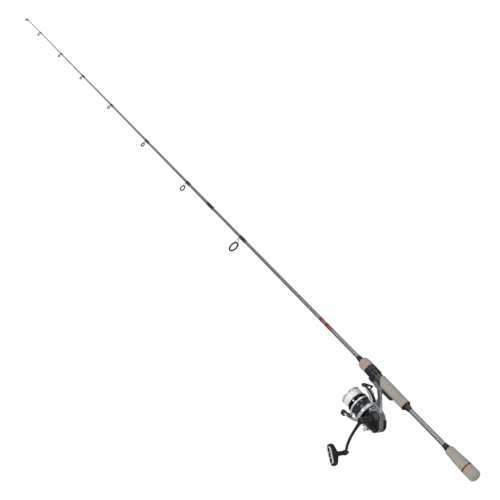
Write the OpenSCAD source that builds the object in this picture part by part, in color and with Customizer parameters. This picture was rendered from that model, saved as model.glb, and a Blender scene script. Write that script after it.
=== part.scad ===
// Two-piece spinning rod with a fixed-spool reel.
// Frame: origin at the centre of the butt end, +X along the rod to the tip,
// +Z up (the reel hangs below), +Y to the left, where the handle is. Millimetres.

/* [Rod] */
// Overall length of the assembled rod
rod_len = 1981; // [1960:1:2010]
// Position of the ferrule mouth from the butt
ferrule_x = 955; // [940:1:965]
// Length of the ferrule spigot
ferrule_len = 72; // [60:1:80]
// Outer radius of the blank at the butt
blank_r0 = 5.6; // [5.5:0.05:5.65]
// Outer radius of the butt section at the ferrule
blank_r1 = 3.2; // [3.15:0.05:3.25]
// Outer radius of the tip of the blank
tip_r = 0.95; // [0.8:0.05:1.1]

/* [Grips] */
// Radius of the butt cap
butt_r = 13.4; // [13:0.1:13.8]
// Front end of the rear grip
rear_grip_x = 84; // [80:1:88]
// Radius of the seat grip
seat_grip_r = 12.4; // [12.2:0.1:12.8]
// Radius of the foregrip
fore_grip_r = 13.5; // [13.2:0.1:13.8]

/* [Reel] */
// Distance from the rod axis down to the spool axis
spool_drop = 80; // [80:0.1:80.4]
// Tilt of the rotor arms from vertical, degrees
rotor_tilt = 8; // [0:1:20]
// Resting angle of the opened bail from straight ahead, degrees
bail_open = 100; // [90:1:102]
// Radius of the wound line
line_r = 22.6; // [19:0.1:23]
// Resting angle of the handle knob, degrees
knob_turn = 0; // [0:5:90]

/* [Hidden] */

// Axes along Y are given as [x, z]
spool_z = -spool_drop;
handle_axis = [258, spool_z + 6];
osc_offset = [-12.2, -3.15];  // oscillation gear from the handle
osc_axis = handle_axis + osc_offset;
osc_angle = atan2(-osc_offset[1], -osc_offset[0]);
knob_offset = [-13.5, -80];  // knob pin from the handle
knob_axis = handle_axis + knob_offset;

// Colours shared by several nodes
blank_color = [0.22, 0.22, 0.24];
foam_color = [0.65, 0.63, 0.59];
copper_color = [0.72, 0.3, 0.16];
check_color = [0.1, 0.1, 0.1];
frame_color = [0.35, 0.35, 0.37];
black_color = [0.1, 0.1, 0.11];
thread_color = [0.08, 0.08, 0.09];
shaft_color = [0.75, 0.75, 0.76];
steel_color = [0.7, 0.7, 0.72];
rotor_color = [0.12, 0.12, 0.13];
bail_color = [0.13, 0.13, 0.14];

// ---------- shared shapes ----------
// Solids along X: cylinder, revolved [x, radius] profile, tube
module cyl_x(start, end, radius, sides = 48)
  translate([start, 0, 0]) rotate([0, 90, 0]) cylinder(h = end - start, r = radius, $fn = sides);
module turn_x(points, sides = 48)
  rotate([0, 90, 0]) rotate_extrude($fn = sides) polygon([for (p = points) [p[1], p[0]]]);
module tube_x(start, end, outer, inner, sides = 48)
  turn_x([[start, inner], [start, outer], [end, outer], [end, inner]], sides);

// Solids along Y: cylinder and cone on an axis, plate from an [x, z] outline
module cyl_y(axis, start, end, radius, sides = 40)
  translate([axis[0], start, axis[1]]) rotate([-90, 0, 0])
    cylinder(h = end - start, r = radius, $fn = sides);
module cone_y(axis, start, end, start_r, end_r, sides = 40)
  translate([axis[0], start, axis[1]]) rotate([-90, 0, 0])
    cylinder(h = end - start, r1 = start_r, r2 = end_r, $fn = sides);
module plate_y(start, end)
  translate([0, end, 0]) rotate([90, 0, 0]) linear_extrude(end - start) children();

module at_axis(axis) translate([axis[0], 0, axis[1]]) children();
module at_spool() translate([0, 0, spool_z]) children();

// Outer tangent points of two circles
function tangents(a, a_r, b, b_r) = let (
    span = norm(b - a),
    along = (b - a) / span,
    across = [-along[1], along[0]],
    cosine = (a_r - b_r) / span,
    sine = sqrt(1 - cosine * cosine),
    left = cosine * along + sine * across,
    right = cosine * along - sine * across)
  [a + a_r * left, b + b_r * left, b + b_r * right, a + a_r * right];

// ---------- rod, butt section ----------
// Outer radius of the butt section at station x, and the bore of parts fitted on it
function butt_radius(x) = blank_r0 + (blank_r1 - blank_r0) * x / ferrule_x;
function fitted_bore(x) = butt_radius(x) + 0.05;

cap_ring_end = 31.6;
rear_grip_end_r = 10.6;
seat_x = 218.5;
seat_end = 355.4;
seat_r = 10.9;
thread_r = 11.3;
seat_grip_bore = 10.95;
foot_z = -9.3;  // centreline of both hoods
fixed_hood_r = 9.3;
accent_height = 0.28;

// Hollow blank with the ferrule spigot at its front end
module butt_blank() color(blank_color) turn_x([
  [20, blank_r0 - 1.3], [20, butt_radius(20)], [ferrule_x - 1, blank_r1], [ferrule_x - 1, 2.95],
  [ferrule_x + ferrule_len, 2.8], [ferrule_x + ferrule_len, 1.9], [ferrule_x - 20, 2.1]], 32);

module butt_cap() color([0.2, 0.2, 0.2]) difference() {
  turn_x(concat(
    [[0, 0]],
    [for (i = [0:8]) let (a = 90 * i / 8) [8 - 8 * cos(a), 6 + (butt_r - 6) * sin(a)]],
    [[28.25, butt_r], [28.25, 0]]), 64);
  cyl_x(19.9, 30, butt_radius(29) + 0.06);
}

// Ring with both outer edges bevelled
module bevelled_ring(start, end, outer, inner, bevel = 0.5) turn_x([
  [start, inner], [start, outer - bevel], [start + bevel, outer],
  [end - bevel, outer], [end, outer - bevel], [end, inner]], 64);

module trim_rings() color(copper_color) {
  bevelled_ring(28.3, cap_ring_end, butt_r - 0.1, fitted_bore(28));
  bevelled_ring(216, 218.4, 11.6, fitted_bore(216));
}

// Barrel radius at fraction t of a grip's length
function barrel_radius(t, start_r, end_r, bulge) =
  start_r + (end_r - start_r) * (t * t * (3 - 2 * t)) + bulge * sin(180 * t);

// Outside of a foam grip: small rear bevel, barrel, rounded nose
function grip_outline(start, end, start_r, end_r, bulge, nose_len, nose_drop) = concat(
  [[start, start_r - 0.5], [start + 0.5, start_r]],
  [for (i = [1:12]) let (x = start + (end - nose_len - start) * i / 13)
    [x, barrel_radius((x - start) / (end - start), start_r, end_r, bulge)]],
  [for (a = [0:15:90]) let (x = end - nose_len * (1 - sin(a)))
    [x, barrel_radius((x - start) / (end - start), start_r, end_r, bulge)
      - nose_drop * (1 - cos(a))]]);
module grip(start, end, start_r, end_r, bore, bulge, nose_len, nose_drop) turn_x(concat(
  [[start, bore]],
  grip_outline(start, end, start_r, end_r, bulge, nose_len, nose_drop),
  [[end, bore]]), 64);

module rear_grip() color(foam_color)
  grip(cap_ring_end + 0.1, rear_grip_x, butt_r - 0.1, rear_grip_end_r, fitted_bore(31), 0, 3.5, 1.8);

// Collar tapering towards +X onto the blank
module winding_check(start, end, start_r, end_r) let (step = start_r - end_r, len = end - start)
  turn_x([
    [start, fitted_bore(start)], [start, start_r - 0.4], [start + 0.4, start_r],
    [start + 0.35 * len, start_r - 0.3 * step], [start + 0.7 * len, end_r + 0.25 * step],
    [end, end_r], [end, fitted_bore(start)]], 48);

// One in front of the rear grip, one behind the seat facing the other way
seat_check = [202.1, 215.9];
module winding_checks() color(check_color) {
  winding_check(rear_grip_x + 0.1, 98, 7.8, 5.95);
  translate([seat_check[0] + seat_check[1], 0, 0]) mirror([1, 0, 0])
    winding_check(seat_check[0], seat_check[1], 8.4, 5.8);
}

// Reel foot from the fixed hood to station end, grown by gap; outline as [x, z]
module reel_foot(gap, end) difference() {
  plate_y(-7.2 - gap, 7.2 + gap) polygon([
    [261 - gap, -8.6], [end, -8.6], [end, -13.3 - gap], [323.4, -13.3 - gap],
    [309, -15.4 - gap], [303, -18.4 - gap], [287, -18.4 - gap], [279, -15.4 - gap],
    [261 - gap, -13.3 - gap]]);
  cyl_x(250, 350, seat_grip_bore - gap / 10, 64);
}

// Barrel, thread under the lock nut and fixed rear hood
module reel_seat() color([0.17, 0.17, 0.18]) difference() {
  union() {
    cyl_x(seat_x, seat_end, seat_r, 64);
    for (i = [0:10]) cyl_x(327.2 + 2.5 * i, 328.5 + 2.5 * i, thread_r, 64);
    intersection() {
      union() {
        translate([0, 0, foot_z]) cyl_x(258, 281, fixed_hood_r);
        translate([258, 0, foot_z]) sphere(r = fixed_hood_r, $fn = 48);
      }
      translate([245, -9, -19]) cube([40, 18, 14]);
    }
  }
  reel_foot(0.12, 346);
  cyl_x(217, 372, 5.12);
}

// Grip over the seat, cut away at a slant in front and open below for the foot
module seat_grip() color(foam_color) difference() {
  grip(seat_x, 303, 11.5, seat_grip_r, seat_grip_bore, 0.1, 4, 1.2);
  translate([303.2, -20, 12.6]) rotate([0, 40, 0]) translate([0, 0, -50]) cube([40, 40, 60]);
  translate([253, -20, -30]) cube([60, 40, 23.5]);
  translate([244, -9.6, -30]) cube([60, 19.2, 24]);
}

// Each band: start, length
module accent_bands() color(copper_color) for (band = [[470, 24], [503, 12]])
  let (start = band[0], end = band[0] + band[1], bore = butt_radius(start) + 0.03)
    turn_x([[start, bore], [start, butt_radius(start) + accent_height],
      [end, butt_radius(end) + accent_height], [end, bore]], 32);

// ---------- guides ----------
wrap_height = 1;
stripper_x = 838.4;
stripper_drop = 32.6;
stripper_foot_r = butt_radius(838);

// Thread wrap over a guide foot, thinning at both ends
module wrap(start, end, start_r, end_r) turn_x([
  [start, start_r + 0.02], [start, start_r + 0.2], [start + 2, start_r + wrap_height],
  [end - 2, end_r + wrap_height], [end, end_r + 0.2], [end, start_r + 0.02]], 32);
// Room for the foot inside a wrap
module foot_slot(start, length, blank_r)
  translate([start, -1.05, -blank_r - 0.85]) cube([length, 2.1, 0.65]);

// Round wire from point a to point b
module leg(a, b, radius) let (v = b - a, length = norm(v))
  translate(a) rotate([0, acos(v[2] / length), atan2(v[1], v[0])])
    cylinder(h = length, r = radius, $fn = 16);

// Ring seat, two side legs and one foot; drop is from the rod axis to the ring centre
module guide_frame(x, blank_r, drop, ring_r, width, foot_len) translate([x, 0, 0]) {
  translate([0, 0, -drop]) rotate([0, 90, 0]) translate([0, 0, -width / 2]) difference() {
    cylinder(h = width, r = ring_r, $fn = 48);
    translate([0, 0, -1]) cylinder(h = width + 2, r = ring_r - 0.9, $fn = 48);
  }
  for (side = [-1, 1])
    leg([-0.9, side * 0.5, -blank_r - 0.55],
      [0, side * (ring_r - 0.3) * 0.6, -drop + (ring_r - 0.3) * 0.8], 0.5);
  translate([-foot_len, -1, -blank_r - 0.8]) cube([foot_len - 0.4, 2, 0.55]);
}

// Ring liner from the front half of its section, mirrored to the back
module liner(half, sides) turn_x(
  concat(half, [for (i = [len(half) - 1:-1:0]) [-half[i][0], half[i][1]]]), sides);

module stripper_frame() color(frame_color)
  guide_frame(stripper_x, stripper_foot_r, stripper_drop, 14.4, 2.4, 23);
module stripper_ring() color(black_color) translate([stripper_x, 0, -stripper_drop])
  liner([[0.8, 10.3], [1.7, 10.8], [1.7, 11.8], [1.1, 13.48]], 64);
module stripper_wraps() color(thread_color) difference() {
  wrap(812.4, 836.8, butt_radius(812), butt_radius(836));
  foot_slot(815, 30, stripper_foot_r);
}
module ferrule_wrap() color(thread_color) turn_x([
  [ferrule_x + 0.5, 3.87], [ferrule_x + 0.5, 4.15], [ferrule_x + 2, 4.45],
  [ferrule_x + 24, 4.35], [ferrule_x + 27, 3.97], [ferrule_x + 27, 3.87]], 32);

// ---------- rod, tip section ----------
socket_r = 3.85;  // at the ferrule mouth
socket_end_r = 3.4;
socket_end = ferrule_x + 90;
function tip_radius(x) = x < socket_end
  ? socket_r - (socket_r - socket_end_r) * (x - ferrule_x) / (socket_end - ferrule_x)
  : socket_end_r + (tip_r - socket_end_r) * (x - socket_end) / (rod_len - socket_end);

module tip_blank() color(blank_color) turn_x([
  [ferrule_x, 3.0], [ferrule_x, socket_r], [socket_end, socket_end_r],
  [rod_len - 3, tip_r], [rod_len - 3, 0.3], [1500, 1.0],
  [ferrule_x + ferrule_len + 4, 2.0], [ferrule_x + ferrule_len + 2, 2.85]], 32);

// Tip section guides: x, drop, frame ring radius, foot length, liner thickness
guides = [
  [1081, 21.4, 8.5, 16, 2.2],
  [1284, 16.1, 6.4, 15, 2.2],
  [1471.6, 12.4, 4.4, 13, 1.3],
  [1632.5, 10.4, 4.0, 13, 1.3],
  [1764, 10.1, 4.0, 10.5, 1.3],
  [1895, 9.9, 3.6, 10.5, 1.3]];
module tip_guide(guide)
  guide_frame(guide[0], tip_radius(guide[0]), guide[1], guide[2], 1.8, guide[3]);
module guide_frame_2() color(frame_color) tip_guide(guides[0]);
module guide_frame_3() color(frame_color) tip_guide(guides[1]);
module small_guide_frames() color(frame_color) for (i = [2:5]) tip_guide(guides[i]);

module guide_rings() color(black_color) for (guide = guides)
  let (outer = guide[2] - 0.92, bore = outer - guide[4])
    translate([guide[0], 0, -guide[1]])
      liner([[0.5, bore], [1.2, bore + 0.5], [1.2, outer - 0.6], [0.8, outer]], 48);

module tip_wraps() color(thread_color) difference() {
  for (guide = guides) let (start = guide[0] - guide[3] - 3, end = guide[0] - 1.6)
    wrap(start, end, tip_radius(start), tip_radius(end));
  for (guide = guides)
    foot_slot(guide[0] - guide[3] - 0.1, guide[3] + 2, tip_radius(guide[0]));
}

top_ring_x = rod_len - 1.2;
top_ring_z = -4.4;
// Tube over the tip, end ring and two braces
module tip_top() color(frame_color) {
  tube_x(rod_len - 16, rod_len - 1.4, tip_r + 0.75, tip_r + 0.12, 32);
  translate([top_ring_x, 0, top_ring_z]) rotate([0, 90, 0]) translate([0, 0, -0.8]) difference() {
    cylinder(h = 1.6, r = 3.1, $fn = 40);
    translate([0, 0, -1]) cylinder(h = 4, r = 2.2, $fn = 40);
  }
  for (side = [-1, 1])
    leg([rod_len - 12, side * 1.2, -1.3], [top_ring_x, side * 2.35, -2.95], 0.45);
}
module tip_top_ring() color(black_color) translate([top_ring_x, 0, top_ring_z])
  liner([[0.4, 1.5], [1, 1.75], [1, 2], [0.6, 2.18]], 40);

// ---------- reel clamp ----------
nut_bore = 11.38;
sleeve_r = 12;  // lock nut's sleeve inside the foregrip
sliding_hood_r = 9.6;
foregrip_x = 340.7;
foregrip_end = 364;
collar_bore = butt_radius(350) + 0.12;

module sliding_hood() color(black_color) difference() {
  union() {
    turn_x([[313, 11.4], [313, 12.6], [314, 13.2], [325, 13.3], [326, 12.7], [326, 11.4]], 64);
    intersection() {
      translate([0, 0, foot_z]) union() {
        cyl_x(309.5, 320, sliding_hood_r);
        translate([320, 0, 0]) sphere(r = sliding_hood_r, $fn = 48);
      }
      translate([309.5, -10, -20]) cube([16.5, 20, 15]);
    }
  }
  cyl_x(300, 335, nut_bore, 64);
  plate_y(-7.35, 7.35) polygon([
    [300, -8], [324.1, -8], [324.1, -13.5], [309.4, -15.55], [306, -16.9], [300, -16.9]]);
}

// Fluted nut with a sleeve towards the tip
module lock_nut() color(black_color) difference() {
  union() {
    turn_x([[326.15, 11.4], [326.15, 12.9], [327, 13.5],
      [337.1, 13.6], [337.9, 13.2], [337.9, 11.4]], 64);
    tube_x(337.8, seat_end, sleeve_r, 11.4, 64);
  }
  for (i = [0:23]) rotate([15 * i, 0, 0]) translate([327.6, 0, 13.9]) cyl_x(0, 8.4, 0.8, 16);
  cyl_x(326, 372, nut_bore, 64);
}
module foregrip_ring() color(copper_color) bevelled_ring(338, 340.6, 13.2, sleeve_r + 0.05);
module foregrip() color(foam_color) turn_x(concat(
  [[355.9, 6.3], [355.9, sleeve_r + 0.05], [foregrip_x, sleeve_r + 0.05]],
  grip_outline(foregrip_x, foregrip_end, fore_grip_r - 0.3, fore_grip_r - 0.6, 0.5, 8, 3.2),
  [[foregrip_end, 6.3]]), 64);
module front_collar() color(check_color) turn_x([
  [364.1, collar_bore], [364.1, 7.4], [365, 7.7], [368, 6.9],
  [372, 6.2], [378, 5.7], [378, collar_bore]], 48);

// ---------- reel, fixed parts ----------
// The case is a two-lobed outline: a front lobe and a smaller rear one, as [x, z]
case_front = [260, -77];
case_rear = [245.5, -83];
case_r = 22;  // front lobe
case_step = 8;  // rear lobe is smaller by this
bearing_bore = 7.03;
lever_z = -26.6;  // anti-reverse lever from the spool axis
screw_axes = [[272.4, -65], [272.4, -89.6], [239, -90]];
// Posts hulled into the stem: x, z, radius
stem_posts = [
  [295, -17.5, 4.6], [287.5, -17.5, 3.4],
  [280, -34, 3.4], [273.5, -34, 2.6],
  [274, -60, 5], [254, -60, 4]];

module case_slab(radius, start, end) {
  cyl_y(case_front, start, end, radius, 64);
  cyl_y(case_rear, start, end, radius - case_step, 64);
  plate_y(start, end) polygon(tangents(case_front, radius, case_rear, radius - case_step));
}

module reel_body() color([0.45, 0.45, 0.46]) difference() {
  union() {
    reel_foot(0, 323.5);
    for (first = [0, 2]) hull() for (i = [first:first + 3]) let (post = stem_posts[i])
      translate([post[0], 0, post[1]]) cylinder(h = 1, r = post[2], $fn = 28);
    case_slab(case_r, -9.6, 11.5);
    case_slab(21.2, -10.6, -9.5);
    case_slab(20, -11.4, -10.5);
    at_spool() cyl_x(270, 282.8, 19.6, 64);
    // Two lugs for the anti-reverse lever
    at_spool() translate([258.5, -4, -30]) {
      cube([3.2, 8, 12]);
      translate([13.7, 0, 0]) cube([3.2, 8, 17]);
    }
  }
  // Cavity, leaving a post at each screw
  difference() {
    case_slab(20, -7.9, 12);
    for (axis = screw_axes) cyl_y(axis, 6.2, 11.5, 3.2, 32);
  }
  cyl_y(handle_axis, -7.9, -3, 16.9, 64);
  case_slab(case_r + 0.12, 11.5, 22);
  cyl_y(handle_axis, -17, 0, 4.2);
  cyl_y(handle_axis, -10.7, 0, bearing_bore);
  at_spool() {
    cyl_x(272, 290, 4.6);
    cyl_x(277.9, 281.6, 9.03);
    cyl_x(281.5, 290, 9.6);
    translate([0, 0, lever_z]) cyl_x(257, 277, 1.65, 24);
  }
  for (axis = screw_axes) cyl_y(axis, 5.9, 12, 1.5, 24);
}

module side_cover() color([0.14, 0.14, 0.15]) difference() {
  union() {
    case_slab(case_r, 11.6, 14.1);
    case_slab(21.1, 14, 15.2);
    cone_y(handle_axis, 15, 17.6, 13.5, 12, 64);
    cone_y(handle_axis, 17.5, 19.4, 10.5, 9.5, 64);
    cyl_y(handle_axis, 9, 12, 8.6);
    cyl_y(osc_axis, 6.4, 12, 3.4);
  }
  cyl_y(handle_axis, 8, 22, 4.2);
  cyl_y(handle_axis, 8, 14.6, bearing_bore);
  cyl_y(osc_axis, 2, 12.9, 2.05, 24);
  for (axis = screw_axes) {
    cyl_y(axis, 11, 16, 1.5, 24);
    cyl_y(axis, 13.4, 16, 2.9, 24);
  }
}

// Shell round the back of the case
module rear_cap() color(rotor_color) difference() {
  case_slab(23.2, -11.2, 15.1);
  case_slab(case_r + 0.05, -18, 18);
  translate([241, -30, -140]) cube([80, 60, 120]);
}

module cover_screws() color([0.6, 0.6, 0.6]) for (axis = screw_axes) difference() {
  union() {
    cyl_y(axis, 6, 13.5, 1.45, 24);
    cyl_y(axis, 13.45, 15.1, 2.8, 24);
  }
  translate([axis[0] - 2, 14.4, axis[1] - 0.35]) cube([4, 1, 0.7]);
}

// Turns a part made along X onto the handle axis
module along_handle() at_axis(handle_axis) rotate([0, 0, 90]) children();

// Bearing with a shallow groove between its races on both faces
module bearing(start, end, inner, outer) turn_x([
  [start, inner], [start, inner + 1], [start + 0.3, inner + 1.2],
  [start + 0.3, outer - 1.2], [start, outer - 1], [start, outer],
  [end, outer], [end, outer - 1], [end - 0.3, outer - 1.2],
  [end - 0.3, inner + 1.2], [end, inner + 1], [end, inner]], 48);
module pinion_bearing() color(steel_color) at_spool() bearing(278, 281.4, 4.05, 9);
module drive_bearings() color(steel_color) {
  along_handle() bearing(-10.6, -8.2, 3.55, 7);
  along_handle() bearing(11.4, 14.5, 3.55, 7);
}
module one_way_clutch() color([0.3, 0.3, 0.32]) at_spool() difference() {
  tube_x(282.9, 292, 13.5, 6.1, 48);
  for (i = [0:5]) rotate([60 * i, 0, 0]) translate([0, 0, 10.2]) cyl_x(286, 293, 1.4, 20);
}

// ---------- gears and crank ----------
gear_module = 0.6;
face_teeth = 32;
tooth_width = 0.84;
// Spur tooth outline in gear modules: from the pitch circle, across
spur_tooth = [[-1.5, -0.78], [-0.9, -0.78], [0.8, -0.3], [0.8, 0.3], [-0.9, 0.78], [-1.5, 0.78]];

module spur_gear(teeth, axis, phase) let (pitch_r = teeth * gear_module / 2)
  at_axis(axis) rotate([0, phase, 0]) {
    cyl_y([0, 0], 3.2, 6, pitch_r - 1.1 * gear_module, 64);
    for (i = [0:teeth - 1]) rotate([0, 360 * i / teeth, 0]) plate_y(3.2, 6)
      polygon([for (p = spur_tooth) [pitch_r, 0] + gear_module * p]);
  }

// Face gear with lightening holes, its shaft and a small spur gear
module drive_gear() color([0.75, 0.68, 0.45]) {
  difference() {
    cyl_y(handle_axis, -7.2, -4.4, 16.4, 80);
    cyl_y(handle_axis, -6, -4.3, 11.4, 48);
    for (i = [0:4]) at_axis(handle_axis) rotate([0, 72 * i, 0]) cyl_y([8.2, 0], -8, -4, 1.9, 24);
  }
  intersection() {
    union() for (i = [0:face_teeth - 1])
      at_axis(handle_axis) rotate([0, 360 / face_teeth * i, 0])
        translate([12.2, -4.6, -6 - tooth_width / 2]) cube([4.3, 1.6, tooth_width]);
    cyl_y(handle_axis, -6, 0, 16.3, 80);
  }
  cyl_y(handle_axis, -7.7, -4.5, 5.2);
  cyl_y(handle_axis, -11.3, 21.5, 3.5);
  spur_gear(16, handle_axis, 180 - osc_angle);
}

module handle_collar() color(black_color) along_handle() turn_x([
  [21.6, 0], [21.6, 7.6], [22.4, 8.6], [26, 9.0], [34, 8.4], [46, 7.2], [50.9, 7.0], [50.9, 0]]);

// Crank bar stations as [x, z] from the handle axis, and their radii
crank_points = [[0, 0], [-0.5, -28], [-3.5, -55], knob_offset];
crank_radii = [6.5, 3.4, 3.2, 4.8];
// The bar moves outwards along Y and thins from one station to the next
module crank_station(i)
  cyl_y(handle_axis + crank_points[i], 52.6 + 1.1 * i, 59 + 0.6 * i, crank_radii[i]);
module crank_arm() color(black_color) difference() {
  union() {
    for (i = [0:2]) hull() {
      crank_station(i);
      crank_station(i + 1);
    }
    cyl_y(handle_axis, 51, 60.4, 7.4);
    cone_y(handle_axis, 60.3, 61.8, 6.4, 5.2);
  }
  cyl_y(knob_axis, 40, 80, 2.02);
}
module knob_pin() color(shaft_color) {
  cyl_y(knob_axis, 52.5, 112, 2.0);
  cyl_y(knob_axis, 52.2, 55.3, 3.4);
}
// Screw head on the side away from the handle
module handle_screw() color([0.5, 0.5, 0.52]) {
  cyl_y(handle_axis, -15.3, -12.1, 7.4, 48);
  cone_y(handle_axis, -16.8, -15.2, 5.8, 7.2, 48);
  cyl_y(handle_axis, -12.3, -11.4, 3.9);
}

knob_lean = -36;
module at_knob() at_axis(knob_axis) rotate([0, knob_turn, 0]) children();
// Two discs, one each side of the knob axis
module knob_pair(offset, start, end, radius)
  for (side = [-1, 1]) cyl_y([side * offset, 0], start, end, radius, 32);

// Paddle on a round shank
module knob() color([0.09, 0.09, 0.1]) at_knob() difference() {
  union() {
    cone_y([0, 0], 61.9, 66, 6.4, 5.0, 48);
    cyl_y([0, 0], 65.9, 95, 5.0, 48);
    rotate([0, knob_lean, 0]) {
      hull() {
        knob_pair(2, 89, 93, 5);
        knob_pair(17.5, 99, 110, 6.5);
      }
      hull() {
        knob_pair(17.5, 109, 111, 6.5);
        knob_pair(17, 112, 113, 5.5);
      }
    }
  }
  cyl_y([0, 0], 60, 112.5, 2.08, 32);
}
module knob_cap() color([0.72, 0.74, 0.76]) at_knob() rotate([0, knob_lean, 0]) hull() {
  knob_pair(13.5, 113.1, 114.4, 5.4);
  knob_pair(13, 114, 116, 4);
}

// ---------- rotor ----------
bail_x = 329;  // bail pivot station
pivot_hole_r = 2.05;
// Side view of a rotor arm: x, distance from the spool axis
rotor_arm = [
  [284.5, 20], [284.5, 27], [288, 31.5], [295, 35.2], [304, 38.2], [316, 40.3], [329, 40.8],
  [329, 37], [316, 36.6], [306, 34.2], [299, 30], [296.5, 25.8], [296.5, 20]];
module at_rotor() at_spool() rotate([rotor_tilt, 0, 0]) children();

module rotor() color(rotor_color) at_rotor() difference() {
  union() {
    turn_x([[284.5, 22.2], [284.5, 27.4], [288, 27.6], [296, 25.6], [302, 22.6], [303, 21.6],
      [316, 21.6], [316, 19.6], [300.4, 19.6], [300.4, 8], [303, 8], [303, 4.05],
      [296.9, 4.05], [296.9, 17], [295, 19.5]], 72);
    for (turn = [0, 180]) rotate([turn, 0, 0]) {
      plate_y(-6.8, 6.8) polygon(rotor_arm);
      translate([bail_x, 0, 36.8]) cylinder(h = 4, r = 7.4, $fn = 48);
    }
  }
  translate([bail_x, 0, -50]) cylinder(h = 100, r = pivot_hole_r, $fn = 32);
  translate([bail_x, 0, -38.9]) cylinder(h = 77.8, r = 5.2, $fn = 32);
  // Spring channel in the lower arm
  rotate([180, 0, 0]) translate([298, -4.2, 33.5]) cube([18, 8.4, 2.6]);
}
module rotor_trim() color([0.78, 0.8, 0.82]) at_rotor()
  turn_x([[282.9, 23.6], [282.9, 26.6], [284.4, 27.4], [284.4, 22.2]], 72);
module arm_caps() color([0.35, 0.36, 0.38]) at_rotor()
  for (turn = [0, 180]) rotate([turn, 0, 0]) difference() {
    translate([bail_x, 0, 37.0]) cylinder(h = 1.8, r = 5.15, $fn = 32);
    translate([bail_x, 0, 36]) cylinder(h = 4, r = pivot_hole_r, $fn = 32);
  }
// Separate rings standing for the coils, in the arm's channel
module bail_spring() color(steel_color) at_rotor() rotate([180, 0, 0])
  for (i = [0:5]) translate([300.5 + 2.4 * i, 0, 34.85]) rotate([0, 90, 0])
    rotate_extrude($fn = 24) translate([1.0, 0]) circle(r = 0.22, $fn = 16);

// Teeth at the back, tube through the rotor and a collar inside the clutch
module pinion_gear() color([0.8, 0.7, 0.4]) difference() {
  at_spool() union() {
    cyl_x(267.6, 277.2, 2.5, 40);
    for (i = [0:7]) rotate([45 * i + 22.5, 0, 0]) translate([267.6, 0, 0])
      rotate([90, 0, 90]) linear_extrude(9.2) polygon([
        [2.2, -0.62], [2.6, -0.62], [4.05, -0.28], [4.05, 0.28], [2.6, 0.62], [2.2, 0.62]]);
    cyl_x(277, 303, 4.0);
    cyl_x(302.9, 309, 3.5);
    tube_x(282.9, 293.5, 6.0, 3.9);
  }
  at_spool() cyl_x(260, 320, 1.85, 40);
}
module rotor_nut() color([0.7, 0.7, 0.7]) at_spool() difference() {
  cyl_x(303.1, 307.2, 6.6, 6);
  cyl_x(300, 310, 3.55);
}

// ---------- bail ----------
bail_reach = 25;  // pivot to wire end
module at_bail() at_rotor() translate([bail_x, 0, 0]) rotate([0, 0, -bail_open]) children();
// Disc on the bail's own axes, at the pivot or at the wire end
module bail_disc(x, z, height, radius)
  translate([x, 0, z]) cylinder(h = height, r = radius, $fn = 32);
module bail_plate(thickness, pivot_r, end_r, end_sides) linear_extrude(thickness) {
  circle(r = pivot_r, $fn = 48);
  translate([bail_reach, 0]) circle(r = end_r, $fn = end_sides);
  polygon(tangents([0, 0], pivot_r, [bail_reach, 0], end_r));
}

// Lower side, carries the line roller
module bail_arm() color(bail_color) at_bail() {
  translate([0, 0, -44.6]) bail_plate(3.4, 6.6, 4.6, 40);
  translate([0, 0, -47.4]) cylinder(h = 2.9, r1 = 4.2, r2 = 6.9, $fn = 40);
  bail_disc(0, -41.3, 3.5, 2.0);
  bail_disc(bail_reach, -41.3, 7.5, 1.5);
  bail_disc(bail_reach, -34.6, 1.3, 3.6);
}
// Upper side
module bail_ear() color(bail_color) at_bail() {
  translate([0, 0, 41.2]) bail_plate(2.4, 4.6, 2.3, 32);
  bail_disc(0, 37.8, 3.5, 2.0);
  bail_disc(bail_reach, 34.6, 6.7, 1.9);
}
// Half hoop with a ball at each end
module bail_wire() color([0.3, 0.3, 0.32]) at_bail() {
  translate([bail_reach, 0, 0]) rotate([90, 0, 0]) rotate([0, 0, -90])
    rotate_extrude(angle = 180, $fn = 96) translate([33, 0]) circle(r = 0.85, $fn = 20);
  translate([bail_reach, 0, -33.2]) sphere(r = 1.6, $fn = 32);
  translate([bail_reach, 0, 33.0]) sphere(r = 1.9, $fn = 32);
}
module line_roller() color([0.8, 0.8, 0.82]) at_bail() translate([bail_reach, 0, 0])
  rotate_extrude($fn = 48) polygon([
    [1.55, -41.0], [4.2, -41.0], [4.3, -40.4], [3.4, -38.8], [3.2, -37.8],
    [3.4, -36.8], [4.1, -35.4], [4.0, -34.9], [1.55, -34.9]]);

// ---------- shaft and spool ----------
spool_bore = 1.83;
module main_shaft() color(shaft_color) at_spool() cyl_x(237.1, 352, 1.75, 40);
// Block on the back of the shaft, with an upright slot in its left face
module slider() color([0.6, 0.6, 0.55]) difference() {
  translate([236.9, -2.5, spool_z - 9]) cube([6.2, 5.1, 11.9]);
  translate([238.7, 1.9, spool_z - 8]) cube([3.2, 2, 12]);
  at_spool() cyl_x(236, 244, 1.76, 40);
}
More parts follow.
